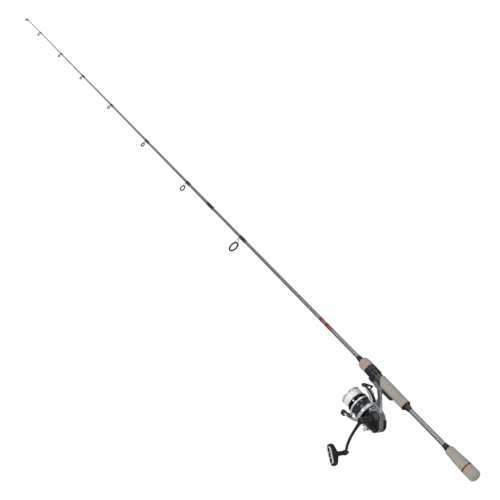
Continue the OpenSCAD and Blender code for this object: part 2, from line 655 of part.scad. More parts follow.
// Skirt, line drum and drag well, with a row of holes round the skirt
module spool() color([0.2, 0.2, 0.21]) at_spool() difference() {
  turn_x([[308, 23.6], [308, 24.6], [308.6, 25], [318.6, 25], [320, 24.2], [322.6, 18.4],
    [323, 17.5], [339.2, 17.5], [340.2, 18.6], [340.2, 21], [341.6, 21], [341.6, 14.4],
    [330, 14.4], [330, spool_bore], [312.5, spool_bore], [312.5, 7.2], [319.8, 7.2],
    [319.8, 22.4], [318.6, 23.6]], 72);
  for (i = [0:17]) rotate([20 * i, 0, 0]) translate([314.2, 0, 20])
    cylinder(h = 8, r = 1.7, $fn = 20);
}
module spool_lip() color([0.45, 0.46, 0.48]) at_spool() turn_x([
  [340.25, 21.05], [340.25, 22.6], [342.4, 23.75], [343.4, 23.5],
  [343.8, 21.6], [341.65, 15], [341.65, 21.05]], 72);
module line_pack() color([0.9, 0.9, 0.88]) at_spool() turn_x([
  [323.3, 17.55], [323.3, line_r - 1], [324.2, line_r],
  [338.4, line_r], [339.1, line_r - 1], [339.1, 17.55]], 72);
module line_clip() color([0.7, 0.7, 0.7]) at_spool() rotate([-70, 0, 0])
  translate([316.6, 0, 25.05]) cylinder(h = 0.8, r = 2.0, $fn = 32);
module drag_washers() color([0.3, 0.25, 0.2]) at_spool() for (i = [0:5])
  tube_x(330.1 + 1.25 * i, 331.2 + 1.25 * i, 13.9 - 0.5 * (i % 2), 1.84);
// Domed knob with a bar across its front
module drag_knob() color(rotor_color) at_spool() difference() {
  union() {
    turn_x([[338, 2], [338, 13.2], [346, 13.2], [352, 11.6], [356, 8.6],
      [358, 4], [358, 0], [352.5, 0], [352.5, 2]], 64);
    for (turn = [90, 270]) rotate([turn, 0, 0]) translate([343, -1.8, 0]) cube([13, 3.6, 11]);
  }
  cyl_x(330, 352.6, spool_bore, 40);
}
// Spur gear, its shaft and an off-centre peg facing the slider
module oscillation_gear() color([0.85, 0.85, 0.8]) {
  spur_gear(26, osc_axis, 180 / 26 - osc_angle);
  cyl_y(osc_axis, 3.4, 12.5, 2.0, 24);
  cyl_y(osc_axis + [-5.5, -0.4], 2.8, 3.4, 1.4, 24);
}
module anti_reverse_lever() color([0.75, 0.76, 0.78]) translate([0, 0, spool_z + lever_z]) {
  cyl_x(258.7, 274.9, 1.6, 24);
  cyl_x(262.1, 271.8, 2.7, 32);
  translate([263.5, -1.4, -9]) cube([7, 2.8, 8]);
  translate([267, 1.6, -9]) rotate([90, 0, 0]) cylinder(h = 3.2, r = 3.5, $fn = 32);
}

butt_blank();
butt_cap();
trim_rings();
rear_grip();
winding_checks();
reel_seat();
seat_grip();
accent_bands();
stripper_frame();
stripper_ring();
stripper_wraps();
ferrule_wrap();
tip_blank();
guide_frame_2();
guide_frame_3();
small_guide_frames();
guide_rings();
tip_wraps();
tip_top();
tip_top_ring();
sliding_hood();
lock_nut();
foregrip();
foregrip_ring();
front_collar();
reel_body();
side_cover();
rear_cap();
cover_screws();
pinion_bearing();
drive_bearings();
one_way_clutch();
drive_gear();
handle_collar();
crank_arm();
knob_pin();
handle_screw();
knob();
knob_cap();
rotor();
rotor_trim();
pinion_gear();
rotor_nut();
arm_caps();
bail_spring();
bail_arm();
bail_ear();
bail_wire();
line_roller();
main_shaft();
slider();
spool();
spool_lip();
line_pack();
line_clip();
drag_washers();
drag_knob();
oscillation_gear();
anti_reverse_lever();
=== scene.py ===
"""Spinning rod with a fixed-spool reel.

The rod lies along +X on the X axis, from the butt cap at x = 0 to the tip-top near x = 1980.
The reel and the guides hang below it (-Z) and the crank handle stands out on the +Y side.
Sizes are in millimetres; finished meshes and everything in the studio are in metres.
"""
import bpy, bmesh, math
from mathutils import Matrix, Vector

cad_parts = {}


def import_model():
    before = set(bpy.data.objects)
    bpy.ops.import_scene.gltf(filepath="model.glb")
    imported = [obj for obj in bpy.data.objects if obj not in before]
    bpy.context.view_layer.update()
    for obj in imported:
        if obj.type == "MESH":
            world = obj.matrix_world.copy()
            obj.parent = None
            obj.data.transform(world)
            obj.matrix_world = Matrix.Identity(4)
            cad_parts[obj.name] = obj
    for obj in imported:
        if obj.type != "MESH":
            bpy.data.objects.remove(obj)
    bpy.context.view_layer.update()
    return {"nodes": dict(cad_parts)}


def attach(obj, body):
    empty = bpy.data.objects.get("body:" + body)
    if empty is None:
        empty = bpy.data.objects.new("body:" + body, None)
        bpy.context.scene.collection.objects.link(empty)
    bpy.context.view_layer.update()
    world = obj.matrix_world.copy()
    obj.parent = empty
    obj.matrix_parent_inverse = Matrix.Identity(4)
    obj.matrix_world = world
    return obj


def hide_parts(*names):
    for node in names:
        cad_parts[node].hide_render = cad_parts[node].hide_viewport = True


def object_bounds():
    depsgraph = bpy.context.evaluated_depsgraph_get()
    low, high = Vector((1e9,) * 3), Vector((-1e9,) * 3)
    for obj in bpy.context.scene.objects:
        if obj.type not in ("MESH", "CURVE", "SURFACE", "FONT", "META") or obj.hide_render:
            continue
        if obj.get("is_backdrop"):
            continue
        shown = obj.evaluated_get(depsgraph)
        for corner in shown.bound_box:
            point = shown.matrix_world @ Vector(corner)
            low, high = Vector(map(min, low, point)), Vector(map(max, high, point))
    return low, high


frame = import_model()
MM = 0.001
SCENE = bpy.context.scene
PI = math.pi

# bodies of the frame that pieces ride on
ROD, TIP, NUT, CRANK = "rod_butt", "tip_section", "nut", "crank"
KNOB, ROTOR, BAIL = "handle_knob", "rotor_unit", "bail"
SHAFT, SPOOL = "shaft_unit", "spool_unit"

# ------------------------------------------------------------------ driving dimensions
JOINT_X = 955                   # end of the butt section, start of the tip section
SLEEVE_END = 1045               # the tip section is widest from the joint to here
SPOOL_Z = -80.0                 # axis of spool and rotor
HANDLE_X, HANDLE_Z = 258.0, -74.0
PIVOT_X = 329.0                 # bail pivots
ROTOR_TILT = math.radians(8)    # at rest
BAIL_SWING = math.radians(-100) # at rest
BAIL_ARM = 25.0                 # bail pivot to bail wire plane
KNOB_X, KNOB_Z = 244.5, -154.0
KNOB_TURN = math.radians(-36)   # long side of the knob, about its own axis


def at(x, y=0, z=0): return Matrix.Translation((x, y, z))


X_TO_Y = Matrix.Rotation(PI / 2, 4, "Z")
X_TO_Z = Matrix.Rotation(-PI / 2, 4, "Y")
AT_SPOOL = at(0, 0, SPOOL_Z)
AT_ROTOR = AT_SPOOL @ Matrix.Rotation(ROTOR_TILT, 4, "X")
AT_BAIL = AT_ROTOR @ at(PIVOT_X) @ Matrix.Rotation(BAIL_SWING, 4, "Z")
AT_ROLLER = AT_BAIL @ at(BAIL_ARM) @ X_TO_Z                # local X runs across the bail
AT_HANDLE = at(HANDLE_X, 0, HANDLE_Z) @ X_TO_Y             # local X is frame Y
AT_KNOB = at(KNOB_X, 0, KNOB_Z) @ Matrix.Rotation(KNOB_TURN, 4, "Y")


def butt_radius(x): return 5.6 - 2.4 * x / JOINT_X


def tip_radius(x):
    if x < SLEEVE_END:
        return 3.85 - 0.45 * (x - JOINT_X) / (SLEEVE_END - JOINT_X)
    return 3.4 + (0.95 - 3.4) * (x - SLEEVE_END) / 936


def ease(t): return t * t * (3 - 2 * t)


# ------------------------------------------------------------------ materials
MATERIALS = {}


def lin(r, g, b):
    """Linear colour from 0-255 sRGB."""
    def channel(c): return c / 12.92 if c <= 0.04045 else ((c + 0.055) / 1.055) ** 2.4
    return tuple(channel(c / 255) for c in (r, g, b))


def shade(colour, factor): return tuple(min(1, c * factor) for c in colour)


class Look:
    """A Principled material whose patterns are laid out in millimetres of the object's frame."""

    def __init__(self, name, base, rough, metal=0.0, coat=0.0, coat_rough=0.05, spec=0.5):
        self.name = name
        self.material = bpy.data.materials.new(name)
        self.material.use_nodes = True
        self.material.diffuse_color = (*base, 1)
        self.tree = self.material.node_tree
        self.inputs = self.tree.nodes["Principled BSDF"].inputs
        self.base = base
        self.inputs["Base Color"].default_value = (*base, 1)
        self.inputs["Roughness"].default_value = rough
        self.inputs["Metallic"].default_value = metal
        self.inputs["Coat Weight"].default_value = coat
        self.inputs["Coat Roughness"].default_value = coat_rough
        self.inputs["Specular IOR Level"].default_value = spec
        coords = self.add("ShaderNodeTexCoord")
        self.mm = self.mapping(coords.outputs["Object"], "Scale", (1000, 1000, 1000))
        self.colour = None
        self.height = None

    def add(self, kind, **settings):
        node = self.tree.nodes.new(kind)
        for key, value in settings.items():
            setattr(node, key, value)
        return node

    def link(self, source, target):
        self.tree.links.new(source, target)

    def mapping(self, source, setting, value):
        node = self.add("ShaderNodeMapping")
        node.inputs[setting].default_value = value
        self.link(source, node.inputs["Vector"])
        return node.outputs["Vector"]

    def math(self, operation, a, b, clamp=False):
        node = self.add("ShaderNodeMath", operation=operation, use_clamp=clamp)
        for i, value in enumerate((a, b)):
            if isinstance(value, (int, float)):
                node.inputs[i].default_value = value
            else:
                self.link(value, node.inputs[i])
        return node.outputs[0]

    def invert(self, fac): return self.math("SUBTRACT", 1.0, fac, True)

    def noise(self, scale, detail=2.0, rough=0.5, stretch=None):
        node = self.add("ShaderNodeTexNoise")
        node.inputs["Scale"].default_value = scale
        node.inputs["Detail"].default_value = detail
        node.inputs["Roughness"].default_value = rough
        vector = self.mapping(self.mm, "Scale", stretch) if stretch else self.mm
        self.link(vector, node.inputs["Vector"])
        return node.outputs["Fac"]

    def cells(self, scale):
        node = self.add("ShaderNodeTexVoronoi")
        node.inputs["Scale"].default_value = scale
        self.link(self.mm, node.inputs["Vector"])
        return node.outputs["Distance"]

    def wave(self, per_mm, distortion=0.0, detail=0.0, rotate=None):
        """Sine bands across X."""
        node = self.add("ShaderNodeTexWave", wave_type="BANDS", bands_direction="X",
                        wave_profile="SIN")
        node.inputs["Scale"].default_value = per_mm * 2 * PI / 20
        node.inputs["Distortion"].default_value = distortion
        node.inputs["Detail"].default_value = detail
        vector = self.mapping(self.mm, "Rotation", rotate) if rotate else self.mm
        self.link(vector, node.inputs["Vector"])
        return node.outputs["Fac"]

    def ramp(self, fac, lo, hi):
        """fac spread from lo..hi to 0..1."""
        node = self.add("ShaderNodeMapRange")
        node.inputs["From Min"].default_value = lo
        node.inputs["From Max"].default_value = hi
        self.link(fac, node.inputs["Value"])
        return node.outputs["Result"]

    def mix(self, colour, fac):
        """Lays colour over the colour so far."""
        node = self.add("ShaderNodeMix", data_type="RGBA")
        if self.colour is None:
            node.inputs[6].default_value = (*self.base, 1)
        else:
            self.link(self.colour, node.inputs[6])
        node.inputs[7].default_value = (*colour, 1)
        self.link(fac, node.inputs[0])
        self.colour = node.outputs[2]

    def blend(self, colour, pattern, amount, span=None):
        """Lays colour over by a pattern, whose span is first spread to 0..1."""
        if span:
            pattern = self.ramp(pattern, *span)
        self.mix(colour, self.math("MULTIPLY", pattern, amount))

    def lift(self, pattern, by):
        """Adds a pattern to the bump height."""
        height = self.math("MULTIPLY", pattern, by)
        self.height = height if self.height is None else self.math("ADD", self.height, height)

    def rough(self, fac, lo, hi):
        node = self.add("ShaderNodeMapRange")
        node.inputs["To Min"].default_value = lo
        node.inputs["To Max"].default_value = hi
        self.link(fac, node.inputs["Value"])
        self.link(node.outputs["Result"], self.inputs["Roughness"])

    def edge(self, colour, strength):
        """Patchy wear on convex edges."""
        geometry = self.add("ShaderNodeNewGeometry")
        convex = self.ramp(geometry.outputs["Pointiness"], 0.52, 0.6)
        worn = self.math("MULTIPLY", convex, strength, True)
        patches = self.noise(0.9, detail=3)
        self.mix(colour, self.math("MULTIPLY", worn, self.ramp(patches, 0.35, 0.65), True))

    def done(self, bump, distance):
        """Joins colour and bump to the shader; distance is in metres."""
        self.link(self.colour, self.inputs["Base Color"])
        node = self.add("ShaderNodeBump")
        node.inputs["Strength"].default_value = bump
        node.inputs["Distance"].default_value = distance
        self.link(self.height, node.inputs["Height"])
        self.link(node.outputs["Normal"], self.inputs["Normal"])
        MATERIALS[self.name] = self.material


def foam():
    base = lin(164, 158, 147)
    look = Look("foam", base, rough=0.86, spec=0.25)
    look.blend(shade(base, 0.88), look.noise(0.05, detail=3), amount=0.5, span=(0.35, 0.65))
    look.blend(shade(base, 1.15), look.noise(1.6), amount=0.25, span=(0.5, 0.72))
    pores = look.ramp(look.cells(1.9), 0.0, 0.3)
    # painted shade: the pits of the pores are darkened
    look.blend(shade(base, 0.62), look.invert(pores), amount=0.35)
    look.lift(pores, by=0.5)
    look.lift(look.noise(3.2, detail=3), by=0.5)
    look.rough(look.noise(0.8), lo=0.78, hi=0.95)
    look.inputs["Sheen Weight"].default_value = 0.1
    look.done(bump=0.3, distance=0.00012)


def blank():
    """Graphite under lacquer: slanting tape seams and long fibres, with painted shade darkening
    it towards the edges.
    """
    base = lin(150, 151, 155)
    look = Look("blank", base, rough=0.36, metal=0.7, coat=0.4, coat_rough=0.12)
    seam = look.wave(0.085, distortion=0.6, detail=1, rotate=(0.0, 0.0, 0.5))
    look.blend(shade(base, 1.3), seam, amount=0.1, span=(0.3, 0.9))
    fibres = look.noise(1.0, detail=3, rough=0.6, stretch=(0.005, 1.2, 1.2))
    look.blend(shade(base, 0.7), fibres, amount=0.12, span=(0.4, 0.66))
    look.lift(seam, by=0.1)
    look.rough(look.noise(0.3), lo=0.3, hi=0.36)
    # painted shade: dark grey laid over where the surface turns away from view, standing in for
    # the dark reflections along the edges
    facing = look.add("ShaderNodeLayerWeight")
    facing.inputs["Blend"].default_value = 0.45
    look.blend(lin(46, 47, 50), facing.outputs["Facing"], amount=0.85, span=(0.2, 0.65))
    look.done(bump=0.02, distance=0.00002)


def copper():
    base = lin(176, 74, 42)
    look = Look("copper", base, rough=0.24, metal=1.0)
    look.blend(shade(base, 1.35), look.wave(5.0, distortion=0.4, detail=1), amount=0.35)
    look.blend(shade(base, 0.7), look.noise(0.5), amount=0.4, span=(0.45, 0.7))
    look.lift(look.wave(5.0, distortion=0.3, detail=1), by=0.6)
    look.lift(look.noise(4.0, stretch=(0.2, 1, 1)), by=0.2)
    look.rough(look.noise(1.2), lo=0.16, hi=0.34)
    look.edge(lin(240, 170, 120), strength=0.4)
    look.done(bump=0.2, distance=0.0001)


def accent():
    base = lin(150, 66, 52)
    look = Look("accent", base, rough=0.26, metal=0.5, coat=0.7, coat_rough=0.04)
    look.blend(shade(base, 1.5), look.cells(2.2), amount=0.4, span=(0.3, 0.6))
    look.blend(shade(base, 0.6), look.wave(0.9), amount=0.25)
    look.lift(look.wave(3.0, distortion=0.2), by=0.3)
    look.rough(look.noise(1.0), lo=0.18, hi=0.3)
    look.done(bump=0.12, distance=0.00008)


def thread():
    look = Look("thread", lin(22, 23, 25), rough=0.5, coat=1.0, coat_rough=0.03)
    turns = look.wave(4.2, distortion=0.15)
    # painted highlight and shade: each turn lighter on its crown, darker in the grooves between
    # turns
    look.blend(lin(62, 63, 68), turns, amount=0.6)
    look.blend(lin(10, 10, 12), look.noise(0.8), amount=0.5, span=(0.5, 0.7))
    look.lift(turns, by=1.0)
    look.lift(look.noise(0.25), by=1.4)
    look.rough(look.noise(1.0), lo=0.4, hi=0.6)
    look.done(bump=0.35, distance=0.00012)


def line():
    look = Look("line", lin(250, 250, 248), rough=0.45, coat=0.15, coat_rough=0.3)
    turns = look.wave(2.1, distortion=0.5, detail=1, rotate=(0.0, 0.0, 0.06))
    # painted shade: grey in the grooves between the turns of line
    look.blend(lin(205, 207, 210), look.invert(turns), amount=0.25)
    look.blend(lin(215, 217, 220), look.noise(0.35, detail=3), amount=0.2, span=(0.5, 0.75))
    look.lift(turns, by=1.0)
    look.lift(look.noise(2.5, stretch=(4, 0.4, 0.4)), by=0.4)
    look.rough(look.noise(0.8), lo=0.4, hi=0.55)
    look.inputs["Subsurface Weight"].default_value = 0.08
    look.inputs["Subsurface Radius"].default_value = (0.001, 0.001, 0.001)
    look.done(bump=0.14, distance=0.0001)


def plastic(name, rgb, rough, coat=0.0, grain=2.6, bump=0.22, fleck=0.3, light=1.6, metal=0.0,
            worn=None):
    """Moulded or painted: fleck is how strongly the cells show, light their brightness."""
    base = lin(*rgb)
    look = Look(name, base, sum(rough) / 2, metal, coat, coat_rough=0.06)
    look.blend(shade(base, 0.72), look.noise(0.12, detail=3), amount=0.6, span=(0.35, 0.7))
    look.blend(shade(base, light), look.cells(grain), amount=fleck, span=(0.3, 0.62))
    look.lift(look.cells(grain), by=0.5)
    look.lift(look.noise(grain * 1.7), by=0.5)
    look.rough(look.noise(0.5, detail=3), *rough)
    look.edge(lin(*worn) if worn else shade(base, 2.2), strength=0.5)
    look.done(bump, distance=0.00009)


def metal(name, rgb, rough, axis="X", lines=4.0, bump=0.12, dark=0.72, worn=1.25, metal=1.0,
          coat=0.0):
    """Turned about axis; dark and worn scale the base colour in the lines and on edges."""
    base = lin(*rgb)
    look = Look(name, base, sum(rough) / 2, metal, coat)
    stretch = tuple(8 if letter == axis else 0.4 for letter in "XYZ")
    turned = look.noise(lines, detail=3, rough=0.6, stretch=stretch)
    look.blend(shade(base, dark), turned, amount=0.4, span=(0.35, 0.65))
    look.blend(shade(base, dark * 0.9), look.noise(0.25, detail=3), amount=0.35,
               span=(0.5, 0.75))
    look.lift(turned, by=0.8)
    look.rough(look.noise(0.9, detail=3), *rough)
    look.edge(shade(base, worn), strength=0.5)
    look.done(bump, distance=0.0001)


foam()
blank()
copper()
accent()
thread()
line()
plastic("black_rubber", (30, 30, 31), rough=(0.28, 0.42), coat=0.35, grain=1.6, bump=0.2,
        fleck=0.15, light=1.5)
plastic("black_plastic", (30, 31, 33), rough=(0.3, 0.45), coat=0.2, bump=0.25, fleck=0.25,
        light=1.8)
plastic("seat_plastic", (52, 52, 56), rough=(0.26, 0.4), coat=0.4, grain=1.8, bump=0.2,
        light=1.7)
plastic("body_black", (24, 25, 28), rough=(0.24, 0.38), coat=0.45, grain=2.2, bump=0.16,
        light=2.2)
plastic("knob_black", (22, 22, 24), rough=(0.42, 0.6), grain=1.3, bump=0.4, fleck=0.2)
plastic("body_grey", (150, 153, 156), rough=(0.26, 0.38), coat=0.5, grain=3.0, bump=0.12,
        fleck=0.5, light=1.5, metal=0.6, worn=(200, 205, 210))
plastic("body_dark", (96, 100, 103), rough=(0.2, 0.32), coat=0.7, grain=3.0, bump=0.1,
        fleck=0.5, light=1.9, metal=0.5, worn=(120, 130, 140))
plastic("rotor_dark", (44, 55, 59), rough=(0.16, 0.26), coat=0.9, grain=3.2, bump=0.08,
        fleck=0.45, light=2.0, metal=0.5, worn=(120, 132, 140))
plastic("white_plastic", (214, 212, 204), rough=(0.35, 0.5), coat=0.1, grain=2.0, bump=0.2,
        fleck=0.2, light=0.9)
metal("guide_metal", (120, 122, 128), rough=(0.14, 0.28), lines=2.5, bump=0.1, dark=0.7)
metal("ceramic", (28, 28, 31), rough=(0.06, 0.14), lines=1.6, bump=0.03, dark=0.8, worn=1.6,
      metal=0.0, coat=0.8)
metal("steel", (188, 190, 194), rough=(0.16, 0.3), bump=0.14)
metal("steel_y", (184, 186, 190), rough=(0.16, 0.3), axis="Y", bump=0.14)
metal("silver", (232, 235, 237), rough=(0.2, 0.32), bump=0.08, dark=0.88, worn=1.05,
      metal=0.3, coat=0.5)
metal("silver_y", (226, 229, 232), rough=(0.2, 0.32), axis="Y", bump=0.08, dark=0.88,
      worn=1.05, metal=0.4, coat=0.5)
metal("dark_chrome", (128, 131, 135), rough=(0.1, 0.2), bump=0.08, dark=0.7, worn=1.7)
metal("brass", (196, 160, 92), rough=(0.2, 0.36), axis="Y", lines=3.5, bump=0.16)
metal("brass_x", (196, 160, 92), rough=(0.2, 0.36), lines=3.5, bump=0.16)
metal("spool_metal", (40, 41, 44), rough=(0.16, 0.3), lines=4.5, bump=0.14, dark=0.7, worn=3.0)
plastic("washer", (96, 78, 58), rough=(0.7, 0.9), grain=1.8, bump=0.5, fleck=0.4, light=1.4)


# ------------------------------------------------------------------ mesh helpers (mm in, m out)
def in_mm(vector): return [c / MM for c in vector]


def smooth_shade(obj, sharp):
    """Smooth shading, broken at edges over sharp degrees (0 breaks none)."""
    for face in obj.data.polygons:
        face.use_smooth = True
    if sharp:
        obj.data.set_sharp_from_angle(angle=math.radians(sharp))


def add_object(name, mesh):
    obj = bpy.data.objects.new(name, mesh)
    SCENE.collection.objects.link(obj)
    return obj


def make_mesh(name, verts, faces, material, matrix, sharp):
    mesh = bpy.data.meshes.new(name)
    mesh.from_pydata([tuple(v) for v in verts], [], faces)
    if matrix is not None:
        mesh.transform(matrix)
    mesh.transform(Matrix.Scale(MM, 4))
    bm = bmesh.new()
    bm.from_mesh(mesh)
    bmesh.ops.remove_doubles(bm, verts=bm.verts, dist=2e-7)
    bmesh.ops.recalc_face_normals(bm, faces=bm.faces)
    bm.to_mesh(mesh)
    bm.free()
    obj = add_object(name, mesh)
    mesh.materials.append(MATERIALS[material])
    smooth_shade(obj, sharp)
    return obj


def place(obj, body):
    """Mounts a piece on its body. A piece named X_look stands in for the CAD node X."""
    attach(obj, body)
    if obj.name.endswith("_look"):
        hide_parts(obj.name.removesuffix("_look"))


def bake(obj):
    """Applies the modifiers, keeping the materials."""
    graph = bpy.context.evaluated_depsgraph_get()
    mesh = bpy.data.meshes.new_from_object(obj.evaluated_get(graph))
    obj.modifiers.clear()
    materials = list(obj.data.materials)
    obj.data = mesh
    if not mesh.materials:
        for material in materials:
            mesh.materials.append(material)


def join(name, objects):
    """Merges meshes into one object, keeping materials by slot."""
    bm = bmesh.new()
    materials = []
    for obj in objects:
        start = len(bm.faces)
        bm.from_mesh(obj.data)
        bm.faces.ensure_lookup_table()
        slots = []
        for material in obj.data.materials:
            if material not in materials:
                materials.append(material)
            slots.append(materials.index(material))
        for face in bm.faces[start:]:
            face.material_index = slots[face.material_index]
    mesh = bpy.data.meshes.new(name)
    bm.to_mesh(mesh)
    bm.free()
    for material in materials:
        mesh.materials.append(material)
    for obj in objects:
        bpy.data.objects.remove(obj)
    return add_object(name, mesh)


def voxel(obj, size, passes):
    """Remeshes in cells of size mm, then relaxes the surface."""
    remesh = obj.modifiers.new("remesh", "REMESH")
    remesh.mode = "VOXEL"
    remesh.voxel_size = size * MM
    remesh.use_smooth_shade = True
    relax = obj.modifiers.new("relax", "SMOOTH")
    relax.factor = 0.5
    relax.iterations = passes
    bake(obj)
    smooth_shade(obj, sharp=0)
    return obj


def from_cad(node, material, bevel=0.0):
    """A welded, smooth-shaded copy of a CAD node, its edges bevelled by bevel mm."""
    mesh = frame["nodes"][node].data.copy()
    obj = add_object(node + "_look", mesh)
    mesh.materials.clear()
    mesh.materials.append(MATERIALS[material])
    bm = bmesh.new()
    bm.from_mesh(mesh)
    bmesh.ops.remove_doubles(bm, verts=bm.verts, dist=1e-6)
    bmesh.ops.dissolve_degenerate(bm, edges=bm.edges, dist=1e-7)
    if bevel:
        bmesh.ops.dissolve_limit(bm, angle_limit=math.radians(1.0), verts=bm.verts,
                                 edges=bm.edges)
    bm.to_mesh(mesh)
    bm.free()
    for face in mesh.polygons:
        face.material_index = 0
    if "custom_normal" in mesh.attributes:      # would override the new shading
        mesh.attributes.remove(mesh.attributes["custom_normal"])
    if bevel:
        modifier = obj.modifiers.new("bevel", "BEVEL")
        modifier.width = bevel * MM
        modifier.segments = 2
        modifier.limit_method = "ANGLE"
        modifier.angle_limit = math.radians(35)
        bake(obj)
    smooth_shade(obj, sharp=30)
    return obj


def moulded(node, material, cell, passes):
    """A CAD node with every edge softened."""
    return voxel(from_cad(node, material), cell, passes)


def soft(points, radius, steps=3, closed=True):
    """Profile with each corner rounded, except corners on the axis."""
    out = []
    last = len(points) - 1
    for i, point in enumerate(points):
        if not closed and i in (0, last):
            out.append(point)
            continue
        corner = Vector(point)
        before = Vector(points[i - 1]) - corner
        after = Vector(points[(i + 1) % len(points)]) - corner
        if before.length < 1e-6 or after.length < 1e-6:
            continue
        turn = before.normalized().angle(-after.normalized(), 0)
        if turn < math.radians(12) or corner[1] < 1e-6:
            out.append(tuple(corner))
            continue
        cut = min(radius, 0.42 * before.length, 0.42 * after.length)
        start = corner + before.normalized() * cut
        end = corner + after.normalized() * cut
        for k in range(steps + 1):
            t = k / steps
            out.append(tuple(start * (1 - t) ** 2 + corner * 2 * t * (1 - t) + end * t * t))
    return out


def bridge(first, second):
    """Quads between two rings of vertex numbers."""
    n = len(first)
    return [(first[k], first[(k + 1) % n], second[(k + 1) % n], second[k]) for k in range(n)]


def fan(ring, centre):
    n = len(ring)
    return [(ring[k], ring[(k + 1) % n], centre) for k in range(n)]


def lathe(name, profile, material, matrix=None, n=96, closed=True, reshape=None, sharp=34):
    """Revolves (x, radius) points about local X; closed joins the last point to the first.

    reshape(x, radius, angle) gives a new radius at each vertex.
    """
    verts, rings, faces = [], [], []
    for x, radius in profile:
        if radius < 1e-5:
            rings.append([len(verts)])
            verts.append((x, 0, 0))
            continue
        rings.append(list(range(len(verts), len(verts) + n)))
        for k in range(n):
            angle = 2 * PI * k / n
            r = reshape(x, radius, angle) if reshape else radius
            verts.append((x, r * math.cos(angle), r * math.sin(angle)))
    for i in range(len(rings) if closed else len(rings) - 1):
        a, b = rings[i], rings[(i + 1) % len(rings)]
        if len(a) == 1 and len(b) == 1:
            continue
        if len(a) == 1:
            faces += [(a[0], b[(k + 1) % n], b[k]) for k in range(n)]
        elif len(b) == 1:
            faces += fan(a, b[0])
        else:
            faces += bridge(a, b)
    return make_mesh(name, verts, faces, material, matrix, sharp)


def frames_along(points):
    """Point, tangent, side and up along a path, turning as little as possible."""
    points = [Vector(p) for p in points]
    out, side = [], None
    for i, point in enumerate(points):
        tangent = (points[min(i + 1, len(points) - 1)] - points[max(i - 1, 0)]).normalized()
        if side is None:
            side = tangent.cross(Vector((0, 0, 1)))
            if side.length < 0.1:
                side = tangent.cross(Vector((0, 1, 0)))
        side = (side - tangent * side.dot(tangent)).normalized()
        out.append((point, tangent, side, side.cross(tangent)))
    return out


def spline(points, per):
    """Catmull-Rom through the points, with per steps between each two."""
    path = [Vector(p) for p in points]
    out = []
    for i in range(len(path) - 1):
        a, b, c, d = path[max(i - 1, 0)], path[i], path[i + 1], path[min(i + 2, len(path) - 1)]
        for k in range(per):
            t = k / per
            out.append(0.5 * ((2 * b) + (c - a) * t + (2 * a - 5 * b + 4 * c - d) * t * t
                              + (3 * b - a - 3 * c + d) * t ** 3))
    out.append(path[-1])
    return out


def tube(name, points, radii, material, matrix=None, n=16, flat=1.0, up=None):
    """A round-ended rod along points.

    radii is a number or one per point; flat squeezes the rod along up.
    """
    if isinstance(radii, (int, float)):
        radii = [radii] * len(points)
    verts, faces, rings = [], [], []
    path = frames_along(points)
    for (point, tangent, side, rise), radius in zip(path, radii):
        if up is not None:
            fixed = Vector(up)
            rise = (fixed - tangent * fixed.dot(tangent)).normalized()
            side = tangent.cross(rise)
        rings.append(list(range(len(verts), len(verts) + n)))
        for k in range(n):
            a = 2 * PI * k / n
            verts.append(point + (side * math.cos(a) + rise * math.sin(a) * flat) * radius)
    for end, sign in ((0, -1), (len(path) - 1, 1)):
        point, tangent = path[end][:2]
        faces += fan(rings[end], len(verts))
        verts.append(point + tangent * sign * radii[end] * 0.6 * min(1, flat + 0.3))
    for a, b in zip(rings, rings[1:]):
        faces += bridge(a, b)
    return make_mesh(name, verts, faces, material, matrix, sharp=50)


def capsule(x0, x1, radius, n):
    """n outline points round two equal circles centred at x0 and x1."""
    half = n // 2

    def arc(centre, start):
        angles = [start + PI * k / (half - 1) for k in range(half)]
        return [(centre + radius * math.cos(a), radius * math.sin(a)) for a in angles]

    return arc(x1, -PI / 2) + arc(x0, PI / 2)


def stack(name, sections, outline, material, matrix=None, sharp=34):
    """Closed loft along Y. Sections are (y, half length, radius); outline gives (x, z) points."""
    verts, faces, rings = [], [], []
    for section in sections:
        points = outline(section)
        rings.append(list(range(len(verts), len(verts) + len(points))))
        verts += [(x, section[0], z) for x, z in points]
    for a, b in zip(rings, rings[1:]):
        faces += bridge(a, b)
    for ring in (rings[0], rings[-1]):
        faces += fan(ring, len(verts))
        verts.append(tuple(sum(verts[i][q] for i in ring) / len(ring) for q in range(3)))
    return make_mesh(name, verts, faces, material, matrix, sharp)


def distance_to(x, z, path):
    """Distance from a path of (x, z) points, and how far along the nearest place is (0..1)."""
    best = (1e9, 0)
    for i, ((ax, az), (bx, bz)) in enumerate(zip(path, path[1:])):
        dx, dz = bx - ax, bz - az
        t = max(0, min(1, ((x - ax) * dx + (z - az) * dz) / (dx * dx + dz * dz)))
        distance = math.hypot(x - ax - dx * t, z - az - dz * t)
        if distance < best[0]:
            best = (distance, (i + t) / (len(path) - 1))
    return best


# Profiles below are (x, radius) about the piece's own axis.
# ------------------------------------------------------------------ rod, butt section
def butt_blank():
    start, end, steps = 20, 954, 70
    stations = [start + i * (end - start) / steps for i in range(steps + 1)]
    profile = [(start, 4.3)] + [(x, butt_radius(x)) for x in stations]
    profile += [(end, 2.95), (990, 2.88), (1027, 2.8), (1027, 1.9), (935, 2.1)]
    place(lathe("butt_blank_look", soft(profile, 0.25), "blank", n=72), ROD)


def butt_cap():
    arcs = [PI / 2 * i / 10 for i in range(1, 11)]
    profile = [(0, 0), (0, 2.5), (0, 5.2)]
    profile += [(8 - 8 * math.cos(a), 6 + 7.4 * math.sin(a)) for a in arcs]
    profile += [(14, 13.4), (20, 13.4), (26, 13.4), (28.25, 13.35), (28.25, 5.6),
                (19.95, 5.6), (19.95, 0)]
    profile = soft(profile, 0.35, closed=False)
    place(lathe("butt_cap_look", profile, "foam", closed=False), ROD)


